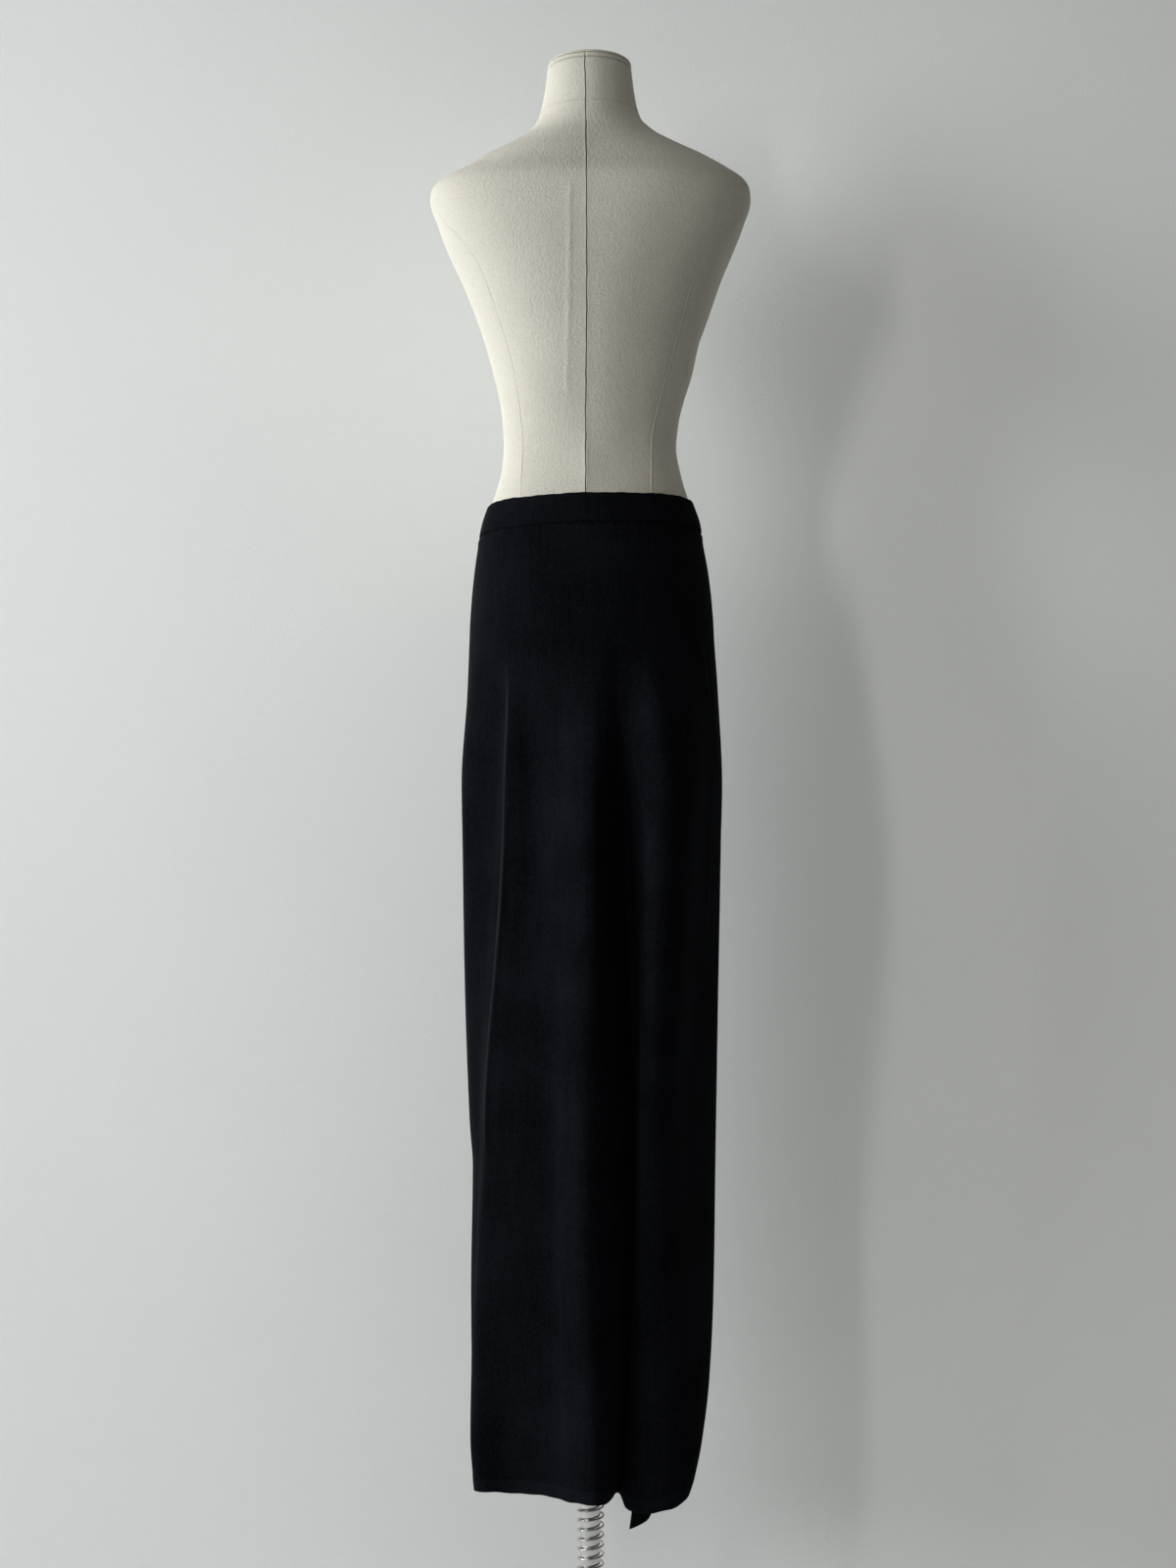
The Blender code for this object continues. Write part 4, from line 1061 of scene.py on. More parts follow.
def waistband_rows(loop):
    """The waistband's rows: a slightly uneven face and edges, and knots along its seam."""
    turns = np.linspace(180, -180, BAND_COLUMNS + 1)
    angle = np.radians(turns)
    across = np.where(np.cos(angle) < 0, math.inf, body_section(turns, SEAM_LINE)[:, 0])   # the back only
    knots = sum(size * bell(across - middle, KNOT_WIDTH) for middle, size in KNOTS)
    wave = sum(size * np.sin(count * angle + start) for size, count, start in BAND_WAVES)
    rows = []
    for step in loop:
        face = step.inset == 0
        puff = BAND_PUFF * math.sin(math.pi * step.down / BAND_HEIGHT) * face
        row = tilted(turns, BAND_TOP - step.down, BAND_WALL + FIT_GAP - step.inset + puff)
        edge = (soft_step(BAND_EDGE - step.down, 0, BAND_EDGE)
                + soft_step(step.down - BAND_HEIGHT + BAND_EDGE, 0, BAND_EDGE))
        pulled = soft_step(step.down, BAND_HEIGHT - KNOT_RISE, BAND_HEIGHT)
        row[:, 2] += wave * edge * EDGE_WAVER + knots * pulled
        row[:, :2] *= (1 + wave * face * (1 - edge) * FACE_WAVER)[:, None]
        row[-1] = row[0]
        rows.append(row)
    return rows


band_steps = band_loop(BAND_HEIGHT, BAND_WALL, faces=10)
band_rows = waistband_rows(band_steps)
band_length = np.concatenate([[0.0], np.cumsum(np.linalg.norm(np.diff(band_rows[0], axis=0), axis=1))])
waistband = band_piece("skirt_waistband", band_rows, band_length, band_steps, double_knit, True)
print("the waistband is", round(float(band_length[-1]), 3), "m round")

# %% Hem band
HEM_PROUD = 0.0003         # the hem band stands this far out of the panels
HEM_GROOVE = 0.0003        # and its top lies this far under its seam line
HEM_SWAY = 0.0005
HEM_WAVES = ((1.0, 95, 0), (0.6, 233, 2))    # size, radians in a metre, and start
hem_steps = band_loop(HEM_BAND - HEM_GROOVE, HEM_WALL)
hem_found = SPANS["front_main"] + SPANS["back"] + SPANS["front_side"]
hem_grid = np.array([spread(float(HEM_LINE + HEM_BAND - HEM_GROOVE - step.down), hem_found)
                     for step in hem_steps])
plain = np.array([spread(float(level), hem_found) for level in (HEM_LINE + HEM_BAND, HEM_LINE)])
hem_out = outward(plain)[0]
inset = np.array([step.inset for step in hem_steps])
hem_rows = hem_grid[..., :3] + hem_out[None] * (HEM_PROUD - inset)[:, None, None]
sway = sum(size * np.sin(hem_grid[0, :, 3] * count + start) for size, count, start in HEM_WAVES)
low = np.array([step.down / HEM_BAND for step in hem_steps])
hem_rows[..., 2] += HEM_SWAY * sway[None, :] * low[:, None]
hem_band = band_piece("skirt_hem_band", hem_rows, -hem_grid[0, :, 3], hem_steps, hem_knit, False)
print("the hem band is", round(float(np.ptp(hem_grid[0, :, 3])), 3), "m long")

# %% [markdown]
# ## The covered torso
# The padding is covered with panels of canvas: a centre back seam that gapes a little, princess
# seams that stand up as fine welts, side seams, a seam at the neck's root and a taped line.  A
# seam a millimetre wide needs columns beside it, so the grid's columns follow the seams, with
# close ones on both sides, and a small table says how each kind of seam rises and sinks, and
# where shade and a highlight are painted on it.

# %% Seams of the form
# A seam's line is points of height and place: metres from the centre, or a turn for a side seam.
Seam = namedtuple("Seam", "name side kind line")
FRONT_PRINCESS = ((1.12, 0.074), (1.38, 0.068), (1.44, 0.062), (1.53, 0.072), (1.60, 0.086),
                  (1.66, 0.112), (1.70, 0.150))
SEAMS = (
    Seam("centre_front", "front", "plain", ((1.12, 0.000), (1.88, 0.000))),
    Seam("front_princess_left", "front", "welt", FRONT_PRINCESS),
    Seam("side_left", "side", "plain", ((1.12, 91.0), (1.70, 91.0))),
    Seam("princess_left", "back", "welt", (
        (1.12, 0.084), (1.3802, 0.0802), (1.4312, 0.0784), (1.4857, 0.0831), (1.5369, 0.0928),
        (1.587, 0.1087), (1.6384, 0.1279), (1.6705, 0.1475), (1.6939, 0.1676), (1.7215, 0.1827))),
    Seam("taped_line", "back", "tape", ((1.500, 0.0272), (1.560, 0.0256), (1.640, 0.0240),
                                        (1.712, 0.0236))),
    Seam("centre_back", "back", "open", ((1.12, 0.0052), (1.45, 0.0052), (1.60, 0.0040),
                                         (1.71, 0.0042), (1.83, 0.0052), (1.88, 0.0062))),
    Seam("princess_right", "back", "welt", (
        (1.12, -0.074), (1.3802, -0.0695), (1.4391, -0.0702), (1.4777, -0.0774), (1.5243, -0.091),
        (1.5756, -0.1047), (1.627, -0.1201), (1.6545, -0.1359), (1.686, -0.1597),
        (1.7095, -0.1824))),
    Seam("side_right", "side", "plain", ((1.12, -91.0), (1.70, -91.0))),
    Seam("front_princess_right", "front", "welt", [(level, -at) for level, at in FRONT_PRINCESS]),
)
# How each kind of seam is shaped: distance from its line, lift, and tone (painted shade towards 1, painted
# highlight towards -1).
Shape = namedtuple("Shape", "beside lift tone")
KINDS = {
    "open": (Shape(0.0, -0.0012, 1.3), Shape(0.0005, -0.0006, 0.8), Shape(0.0010, 0.0002, -0.12),
             Shape(0.0022, 0.00012, -0.05), Shape(0.0040, 0.0, 0.0)),
    "welt": (Shape(0.0, 0.0005, -0.35), Shape(0.0006, 0.0003, -0.20), Shape(0.0013, -0.0002, 0.14),
             Shape(0.0026, 0.0, 0.0)),
    "plain": (Shape(0.0, -0.0006, 0.45), Shape(0.0006, -0.0002, 0.2), Shape(0.0013, 0.0002, -0.1),
              Shape(0.0026, 0.0, 0.0)),
    "tape": (Shape(0.0, 0.0005, -0.14), Shape(0.0016, 0.0004, -0.12), Shape(0.0036, 0.0001, 0.0),
             Shape(0.0056, 0.0, 0.0)),
}
SEAM_ENDS = 0.018          # height over which a seam fades at its ends
SEAM_WAVER = 0.0002        # how far an open seam strays
BODY_COLUMN = 0.0052
BODY_ROW = 0.0035
BUST_LINE = 1.637
PROBE = np.linspace(180, -180, 721)    # the turns at which a row's length is measured
print(len(SEAMS), "seams of", len(KINDS), "kinds")

# %% [markdown]
# A seam is given by how far it lies from the centre line, as a maker would mark it.  The grid
# needs it as a turn round the section, so the section's formula is solved for the turn.

# %% Where each seam runs
def seam_turn(seam, height):
    """The turn of a seam at a height; it keeps its last turn past its ends."""
    knots = [level for level, _ in seam.line]
    level = float(np.clip(height, knots[0], knots[-1]))
    place = float(curve_through(knots, [at for _, at in seam.line], level))
    if seam.side == "side":
        return place
    left, right, square = table_sizes(BODY, ("left", "right", "square"), level)
    half = left if place > 0 else right
    turn = math.degrees(math.asin(min(1.0, (abs(place) / half) ** (square / 2))))
    turn = math.copysign(turn, place)
    return turn if seam.side == "back" else math.copysign(180 - abs(turn), place)


def seam_sway(seam, height):
    """An open seam wavers; the others run true."""
    size = SEAM_WAVER if seam.kind == "open" else 0.0
    return size * (math.sin(height * 140) + 0.7 * math.sin(height * 310 + 1))


def seam_place(seam, height, along):
    """Where a seam lies along a row."""
    return np.interp(-seam_turn(seam, height), -PROBE, along) + seam_sway(seam, height)


def seam_marks(height):
    """The length along a row at each turn of PROBE, and the columns beside each seam."""
    points = body_section(PROBE, height)
    along = np.concatenate([[0.0], np.cumsum(np.linalg.norm(np.diff(points, axis=0), axis=1))])
    marks = []
    for seam in SEAMS:
        centre = seam_place(seam, height, along)
        beside = [shape.beside for shape in KINDS[seam.kind]]
        marks.append(sorted({centre + side * away for away in beside for side in (-1, 1)}))
    return along, marks


def gap_columns():
    """How many plain columns lie between each two seams, from their distance at the bust."""
    along, marks = seam_marks(BUST_LINE)
    ends = [0.0] + [mark for pair in marks for mark in (pair[0], pair[-1])] + [along[-1]]
    return [max(2, round((b - a) / BODY_COLUMN)) for a, b in zip(ends[0::2], ends[1::2])]


PLAIN_COLUMNS = gap_columns()
print("columns between the seams:", PLAIN_COLUMNS)

# %% [markdown]
# The centre front seam lies exactly where the section closes, at half a turn.  A closed ring has
# to start somewhere, and a seam is the best place to hide a start.

# %% Smaller forms of the torso
NECK_SLANT = 0.17          # the neck's top is higher at the back
SLANT_STARTS = 1.830
Groove = namedtuple("Groove", "height depth width tone")
# The seam at the neck's root, and the line under its rim; tone is shade painted into each groove.
GROOVES = (Groove(1.8375, 0.0003, 0.0012, 0.10), Groove(1.8865, 0.0007, 0.0009, 0.5))
Dent = namedtuple("Dent", "height turn depth wide tall")
SIDE_DENT = Dent(1.566, -84.0, 0.0016, 7.0, 0.007)
FLAT_PANELS = ((0.0052, 0.0790), (-0.0700, 0.0052))    # the back's panels, by their seams
PANEL_SAG = 0.0030         # at the waist the canvas is drawn flat between these seams
SAG_LEVEL = 1.405
SAG_REACH = 0.045
PADDING_DIMPLES = 70
PADDING_LIFT = 0.0003
# Columns: turn, height, half width in degrees, half height, and lift.
pads = np.column_stack([luck.uniform(-180, 180, PADDING_DIMPLES),
                        luck.uniform(1.40, 1.85, PADDING_DIMPLES),
                        luck.uniform(6, 20, PADDING_DIMPLES),
                        luck.uniform(0.010, 0.040, PADDING_DIMPLES),
                        luck.uniform(-1, 1, PADDING_DIMPLES) * PADDING_LIFT])
print(len(pads), "dimples in the padding")

# %% One row of the torso
def slanted(flat, height, rise=0.0):
    """Lift a neck ring's back and lower its front."""
    share = np.clip((height - SLANT_STARTS) / (BODY[-1].height - SLANT_STARTS), 0.0, 1.0)
    middle = (BODY[-1].back - BODY[-1].front) / 2
    lift = NECK_SLANT * share * (flat[:, 1] - middle)
    return np.column_stack([flat, height + rise + lift])


def torso_columns(along, marks):
    """The lengths along a row at which its columns lie, close beside seams and even between them."""
    near_front = [shape.beside for shape in KINDS["plain"]]
    edges = [near_front[-1]] + [mark for pair in marks[1:] for mark in (pair[0], pair[-1])]
    edges.append(along[-1] - near_front[-1])
    wanted = list(near_front)
    for k, (start, end) in enumerate(zip(edges[0::2], edges[1::2])):
        wanted += list(np.linspace(start, end, PLAIN_COLUMNS[k + 1] + 1))[1:-1]
        if k + 1 < len(marks):
            wanted += marks[k + 1]
    wanted += [along[-1] - away for away in reversed(near_front)]
    return np.sort(wanted)     # high on the neck two seams are closer than their columns


def seam_relief(height, wanted, along):
    """Lift, and painted shade and highlight, that the seams give to the columns of a row."""
    lift = np.zeros(len(wanted))
    shade_and_highlight = np.zeros(len(wanted))
    for seam in SEAMS:
        low, high = seam.line[0][0], seam.line[-1][0]
        fade = soft_step(high + SEAM_ENDS - height, 0, SEAM_ENDS) * soft_step(height, low - SEAM_ENDS, low)
        if fade == 0:
            continue
        away = np.abs(wanted - seam_place(seam, height, along))
        if seam.name == "centre_front":
            away = np.minimum(wanted, along[-1] - wanted)
        shapes = KINDS[seam.kind]
        beside = [shape.beside for shape in shapes]
        uneven = 0.88 + 0.12 * math.sin(height * 90 + len(seam.name))
        lift += fade * uneven * np.interp(away, beside, [shape.lift for shape in shapes], right=0.0)
        shade_and_highlight += fade * uneven * np.interp(away, beside, [shape.tone for shape in shapes], right=0.0)
    return lift, shade_and_highlight


def torso_row(height):
    """One row of the torso: points, the length along it, lift, and painted shade and highlight."""
    along, marks = seam_marks(height)
    wanted = torso_columns(along, marks)
    turns = -np.interp(wanted, along, -PROBE)
    flat = body_section(turns, height)
    lift, shade_and_highlight = seam_relief(height, wanted, along)
    for turn, level, wide, tall, size in pads:
        lift += size * bell((turns - turn + 180) % 360 - 180, wide) * bell(height - level, tall)
    dent = SIDE_DENT
    lift -= dent.depth * bell(turns - dent.turn, dent.wide) * bell(height - dent.height, dent.tall)
    for start, end in FLAT_PANELS:
        share = np.clip((flat[:, 0] - start) / (end - start), 0, 1)
        sag = PANEL_SAG * bell(height - SAG_LEVEL, SAG_REACH)
        lift -= sag * 4 * share * (1 - share) * (flat[:, 1] > 0)
    for groove in GROOVES:
        lift -= groove.depth * bell(height - groove.height, groove.width)
        # Painted shade in the grooves.
        shade_and_highlight += groove.tone * bell(height - groove.height, groove.width)
    return slanted(flat, height), wanted, lift, shade_and_highlight


print("a row of the torso has", len(torso_row(BUST_LINE)[1]), "columns")

# %% The torso's mesh
CANVAS_EDGE = 50           # degrees; only the rims turn by more
FINE_STEP = 0.0008         # rows lie this close beside a groove
body_heights = np.concatenate([np.arange(BODY[0].height, BODY[-1].height, BODY_ROW), [BODY[-1].height],
                               [groove.height + FINE_STEP * k for groove in GROOVES for k in range(-2, 3)]])
body_heights = np.array(sorted(body_heights, reverse=True))
body_heights = body_heights[np.concatenate([[True], np.diff(body_heights) < -FINE_STEP / 2])]
points, lengths, lifts, shades_and_highlights = map(np.array, zip(*(torso_row(float(h)) for h in body_heights)))
normals = outward(points)
edge = (normals[:, 0] + normals[:, -1]) / 2
normals[:, 0] = normals[:, -1] = edge / np.linalg.norm(edge, axis=-1, keepdims=True)
points = points + normals * lifts[..., None]
points[:, -1] = points[:, 0]


def canvas_piece(name, points, flat, shades_and_highlights, material):
    """A closed skin of canvas from rows of points, with a flat face at its top and its foot."""
    rows, columns = points.shape[:2]
    top = list(range(columns - 1))
    foot = list(range(rows * columns - 2, (rows - 1) * columns - 1, -1))
    data = skin(name, points, flat, grid_faces(rows, columns), [top, foot])
    # Painted shade and highlight of the seams, grooves and tucked line, which the canvas reads.
    note(data, "seam", shades_and_highlights)
    weld(data)
    data.shade_smooth()
    data.set_sharp_from_angle(angle=math.radians(CANVAS_EDGE))
    return show(name, data, material)


flat = np.stack([lengths, np.broadcast_to(body_heights[:, None], lengths.shape)], axis=-1)
torso = canvas_piece("form_torso", points, flat, shades_and_highlights, canvas)
print("torso:", points.shape[0], "rows,", points.shape[1], "columns,", len(torso.data.polygons), "faces")

# %% [markdown]
# ## The neck cap
# A low padded cap closes the neck.  It is a dome on the neck's own outline, with a rolled edge
# and a shallow line where its cover is tucked under, with shade painted along that line.

# %% Neck cap
CAP_RISE = 0.0099
CAP_RIM = 0.0013
PART_GAP = 0.0004
CAP_RINGS = 22
CAP_TOP_ANGLE = 3          # degrees; the dome's middle is one small flat face
CAP_COLUMNS = 168
TUCKED = ((0.0009, 0.999), (0.0005, 0.996), (0.0001, 0.988))    # rise and width of the last rows
# Painted shade along the tucked line under the cap's rim.
TUCKED_SHADE = 0.35
cap_outline = body_section(np.linspace(180, -180, CAP_COLUMNS + 1), BODY[-1].height)
cap_middle = np.array([(BODY[-1].left - BODY[-1].right) / 2, (BODY[-1].back - BODY[-1].front) / 2])
angles = np.radians(CAP_TOP_ANGLE + (90 - CAP_TOP_ANGLE) * np.arange(CAP_RINGS + 1) / CAP_RINGS)
dome = [(CAP_RIM + CAP_RISE * math.cos(angle), math.sin(angle)) for angle in angles]
cap_points = np.array([slanted(cap_middle + (cap_outline - cap_middle) * width, BODY[-1].height,
                               PART_GAP + rise) for rise, width in (*dome, *TUCKED)])
cap_shade = np.zeros(cap_points.shape[:2])
# Painted shade on the tucked rows.
cap_shade[-len(TUCKED):] = TUCKED_SHADE
neck_cap = canvas_piece("form_neck_cap", cap_points, cap_points[..., :2], cap_shade, cap_canvas)
print("the cap rises to", round(float(cap_points[..., 2].max()), 4))

# %% [markdown]
# ## The stand
# Pole, collar, hub and base are turned on one axis.  Each is a short profile whose corners are
# rounded by arcs, because a real edge always catches a line of light.  The profile is then
# carried round the axis in steps.

# %% Sizes of the stand
BASE_RADIUS = 0.200
BASE_THICK = 0.008
HUB_RADIUS = 0.030
HUB_TOP_RADIUS = 0.021
HUB_HEIGHT = 0.0941
HUB_FOOT = 0.012
HUB_TAPER = 0.030
POLE_RADIUS = 0.0112
POLE_BORE_GAP = 0.0004
COLLAR_RADIUS = 0.0195
COLLAR_HEIGHT = 0.014
BOARD_THICK = 0.012
SPRING_RADIUS = 0.0146
SPRING_WIRE = 0.0011
SPRING_PITCH = 0.0107
SPRING_TURNS = 22
METAL_EDGE = 35            # degrees; only the unrounded corners turn by more
bore = POLE_RADIUS + POLE_BORE_GAP
foot = BASE_THICK + PART_GAP
hub_top = foot + HUB_HEIGHT
pole_top = BODY[0].height - BOARD_THICK - 2 * PART_GAP
spring_foot = hub_top + SPRING_WIRE + PART_GAP
collar_foot = spring_foot + SPRING_TURNS * SPRING_PITCH + SPRING_WIRE + PART_GAP
print("spring between", round(spring_foot, 4), "and", round(collar_foot, 4))

# %% Turned pieces
Corner = namedtuple("Corner", "radius height round")


def rounded(corners, steps=4):
    """A closed profile with each corner replaced by an arc of its own radius."""
    made = []
    for before, here, after in zip(corners[-1:] + corners[:-1], corners, corners[1:] + corners[:1]):
        at = np.array([here.radius, here.height])
        to_before = np.array([before.radius, before.height]) - at
        to_after = np.array([after.radius, after.height]) - at
        if here.round == 0:
            made.append(at)
            continue
        start = at + to_before / np.linalg.norm(to_before) * here.round
        end = at + to_after / np.linalg.norm(to_after) * here.round
        for u in np.linspace(0, 1, steps + 1):
            made.append(start * (1 - u) ** 2 + at * 2 * u * (1 - u) + end * u * u)
    return made


def turned(name, corners, material, steps=96):
    """A piece turned on the pole's axis from its profile."""
    profile = rounded(list(corners))
    mesh = bmesh.new()
    points = [mesh.verts.new((radius, 0.0, height)) for radius, height in profile]
    edges = [mesh.edges.new(pair) for pair in zip(points, points[1:] + points[:1])]
    bmesh.ops.spin(mesh, geom=points + edges, axis=(0, 0, 1), cent=(0, 0, 0), angle=math.tau,
                   steps=steps, use_merge=True)
    bmesh.ops.remove_doubles(mesh, verts=mesh.verts, dist=1e-6)
    bmesh.ops.dissolve_degenerate(mesh, edges=mesh.edges, dist=1e-6)
    bmesh.ops.recalc_face_normals(mesh, faces=mesh.faces)
    data = bpy.data.meshes.new(name)
    mesh.to_mesh(data)
    mesh.free()
    data.shade_smooth()
    data.set_sharp_from_angle(angle=math.radians(METAL_EDGE))
    return show(name, data, material)


base = turned("stand_base", (
    Corner(0.0, BASE_THICK, 0), Corner(BASE_RADIUS, BASE_THICK, 0.0022), Corner(BASE_RADIUS, 0.0, 0.0008),
    Corner(0.0, 0.0, 0)), satin_steel, steps=160)
hub = turned("stand_hub", (
    Corner(bore, hub_top, 0.0006), Corner(HUB_TOP_RADIUS, hub_top, 0.0018),
    Corner(HUB_TOP_RADIUS, foot + HUB_TAPER, 0.004), Corner(HUB_RADIUS, foot + HUB_FOOT, 0.004),
    Corner(HUB_RADIUS, foot, 0.0006), Corner(bore, foot, 0.0003)), chrome)
pole = turned("stand_pole", (
    Corner(0.0, pole_top, 0), Corner(POLE_RADIUS, pole_top, 0.0006), Corner(POLE_RADIUS, foot, 0.0006),
    Corner(0.0, foot, 0)), chrome)
collar = turned("stand_collar", (
    Corner(bore, collar_foot + COLLAR_HEIGHT, 0.0004),
    Corner(COLLAR_RADIUS, collar_foot + COLLAR_HEIGHT, 0.0016),
    Corner(COLLAR_RADIUS, collar_foot, 0.0016), Corner(bore, collar_foot, 0.0004)), chrome)
print("turned:", [each.name for each in (base, hub, pole, collar)])

# %% [markdown]
# ## Trees of geometry nodes
# What repeats or follows a path is made by geometry nodes: turns of wire, and stitches.  A tree
# has named inputs for its sizes.  The three helpers below start a tree, end it, and run it on a
# piece.  Its result becomes a plain mesh, because instances can't be exported.

# %% Helpers for node trees
def new_tree(name, sizes):
    """An empty geometry node tree with named number inputs; returns it and its inputs."""
    tree = bpy.data.node_groups.new(name, "GeometryNodeTree")
    tree.interface.new_socket("Geometry", in_out="INPUT", socket_type="NodeSocketGeometry")
    for size in sizes:
        kind = "NodeSocketInt" if size in ("Turns", "Seed") else "NodeSocketFloat"
        tree.interface.new_socket(size, in_out="INPUT", socket_type=kind)
    tree.interface.new_socket("Geometry", in_out="OUTPUT", socket_type="NodeSocketGeometry")
    given = Value(tree).node("NodeGroupInput")
    return tree, {name: given.out(name) for name in ("Geometry", *sizes)}


def close_tree(shape, material):
    """End a tree: smooth, realized, and with its finish."""
    smooth = shape.node("GeometryNodeSetShadeSmooth", None, {"Geometry": shape})
    real = shape.node("GeometryNodeRealizeInstances", None, {"Geometry": smooth})
    done = shape.node("GeometryNodeSetMaterial", None, {"Geometry": real, "Material": material})
    end = shape.tree.nodes.new("NodeGroupOutput")
    shape.tree.links.new(done.socket, end.inputs["Geometry"])


def run_tree(carrier, tree, sizes):
    """Run a tree on a carrier, which becomes a plain mesh and keeps no modifier."""
    modifier = carrier.modifiers.new(tree.name, "NODES")
    modifier.node_group = tree
    for socket in tree.interface.items_tree:
        if socket.in_out == "INPUT" and socket.name in sizes:
            modifier[socket.identifier] = sizes[socket.name]
    graph = bpy.context.evaluated_depsgraph_get()
    made = bpy.data.meshes.new_from_object(carrier.evaluated_get(graph))
    carrier.modifiers.remove(modifier)
    made.name = carrier.name
    carrier.data = made


print("pieces so far:", sum(made.type == "MESH" for made in bpy.context.scene.objects))

# %% [markdown]
# ## The coil spring
# A spring lies loosely round the pole and holds the form up when its clamp is open.  It is one
# wire wound at an even pitch: a spiral curve with a small circle carried along it.  From the
# back the near strands run down towards the right, so the spiral is wound the other way round.

# %% Spring
def spring_tree(material):
    """A spiral of wire, moved up to its foot."""
    tree, sizes = new_tree("coil spring", ("Turns", "Pitch", "Coil Radius", "Wire Radius", "Foot"))
    spiral = sizes["Turns"].node("GeometryNodeCurveSpiral", None, {
        "Resolution": 40, "Rotations": sizes["Turns"], "Start Radius": sizes["Coil Radius"],
        "End Radius": sizes["Coil Radius"], "Height": sizes["Turns"] * sizes["Pitch"],
        "Reverse": True})
    wire = spiral.node("GeometryNodeCurvePrimitiveCircle", {"mode": "RADIUS"},
                       {"Resolution": 12, "Radius": sizes["Wire Radius"]})
    solid = spiral.node("GeometryNodeCurveToMesh", None,
                        {"Curve": spiral, "Profile Curve": wire, "Fill Caps": True})
    up = spiral.node("ShaderNodeCombineXYZ", None, {2: sizes["Foot"]})
    placed = spiral.node("GeometryNodeTransform", None, {"Geometry": solid, "Translation": up})
    close_tree(placed, material)
    return tree


spring = show("stand_spring", bpy.data.meshes.new("stand_spring"), spring_steel)
run_tree(spring, spring_tree(spring_steel), {
    "Turns": SPRING_TURNS, "Pitch": SPRING_PITCH, "Coil Radius": SPRING_RADIUS,
    "Wire Radius": SPRING_WIRE, "Foot": spring_foot})
print("spring:", len(spring.data.polygons), "faces")

# %% [markdown]
# ## Linking stitches
# The bands are linked to the panels loop by loop, and the panels are sewn at the sides.  Each
# stitch is a tiny arch of yarn over the groove.  The path is a line of points that also carry
# the direction out of the cloth, so that the tree can stand each stitch on the surface.

# %% A tree of stitches
def stitch_tree(material):
    """Arches of yarn along a path whose points carry the direction named out."""
    tree, sizes = new_tree("linking stitches", ("Spacing", "Length", "Yarn", "Uneven", "Seed"))
    start = sizes["Geometry"]
    path = start.node("GeometryNodeMeshToCurve", None, {"Mesh": start})
    even = start.node("GeometryNodeResampleCurve", {"mode": "LENGTH"},
                      {"Curve": path, "Length": sizes["Spacing"]})
    half = sizes["Length"] * 0.5
    arch = start.node("GeometryNodeCurveQuadraticBezier", None, {
        "Resolution": 4, "Start": start.node("ShaderNodeCombineXYZ", None, {0: half * -1.0}),
        "Middle": start.node("ShaderNodeCombineXYZ", None, {2: sizes["Yarn"] * 3.0}),
        "End": start.node("ShaderNodeCombineXYZ", None, {0: half})})
    round_yarn = start.node("GeometryNodeCurvePrimitiveCircle", {"mode": "RADIUS"},
                            {"Resolution": 5, "Radius": sizes["Yarn"]})
    stitch = start.node("GeometryNodeCurveToMesh", None,
                        {"Curve": arch, "Profile Curve": round_yarn, "Fill Caps": True})
    out = start.node("GeometryNodeInputNamedAttribute", {"data_type": "FLOAT_VECTOR"}, {"Name": "out"})
    run = start.node("GeometryNodeInputTangent")
    stand = start.node("FunctionNodeAlignRotationToVector", {"axis": "Z"}, {"Vector": out})
    lie = start.node("FunctionNodeAlignRotationToVector", {"axis": "X", "pivot_axis": "Z"},
                     {"Rotation": stand, "Vector": run})
    size = start.node("FunctionNodeRandomValue", {"data_type": "FLOAT"},
                      {2: 1 - sizes["Uneven"], 3: 1 + sizes["Uneven"], "Seed": sizes["Seed"]},
                      output=1)
    placed = start.node("GeometryNodeInstanceOnPoints", None, {
        "Points": even, "Instance": stitch, "Rotation": lie, "Scale": size})
    close_tree(placed, material)
    return tree


stitches = stitch_tree(jersey)
print("the tree of stitches has", len(stitches.nodes), "nodes")

# %% Sew the seams
# Each seam's stitches: spacing, length, the yarn's radius, unevenness and seed.
STITCHES = {"waist": (0.0027, 0.0022, 0.00026, 0.7, 3), "hem": (0.0024, 0.0019, 0.00016, 0.25, 5),
            "side": (0.0031, 0.0024, 0.00022, 0.25, 7)}
WAIST_STITCH_LIFT = 0.0001     # up, and out of the panel's face
HEM_STITCH_SINK = 0.00012      # into the groove over the hem band


def path_piece(name, points, out, material, ring_closed=False):
    """A line of points that carry the direction out of the cloth."""
    data = bpy.data.meshes.new(name)
    count = len(points)
    edges = [(i, i + 1) for i in range(count - 1)] + ([(count - 1, 0)] if ring_closed else [])
    data.from_pydata(points.tolist(), edges, [])
    made = data.attributes.new("out", "FLOAT_VECTOR", "POINT")
    made.data.foreach_set("vector", np.asarray(out, dtype=np.float32).ravel())
    return show(name, data, material)


def sew(kind, name, points, out, ring_closed=False):
    """Stitches of one kind along a line of points."""
    sewn = path_piece(name, points, out, jersey, ring_closed)
    run_tree(sewn, stitches, dict(zip(("Spacing", "Length", "Yarn", "Uneven", "Seed"), STITCHES[kind])))
    return sewn


seam_turns = np.linspace(180, -180, 400, endpoint=False)
seam_points = tilted(seam_turns, SEAM_LINE + WAIST_STITCH_LIFT, EASE + WAIST_STITCH_LIFT)
waist_stitches = sew("waist", "stitches_waist", seam_points, seam_points * (1, 1, 0), ring_closed=True)
hem_stitches = sew("hem", "stitches_hem", plain[0, :, :3] - hem_out * HEM_STITCH_SINK, hem_out)
back_out = outward(GRIDS["back"])
side_stitches = [sew("side", name, GRIDS["back"][:, column, :3], back_out[:, column])
                 for name, column in (("stitches_left", 0), ("stitches_right", -1))]
print("stitch faces:", len(waist_stitches.data.polygons), len(hem_stitches.data.polygons))
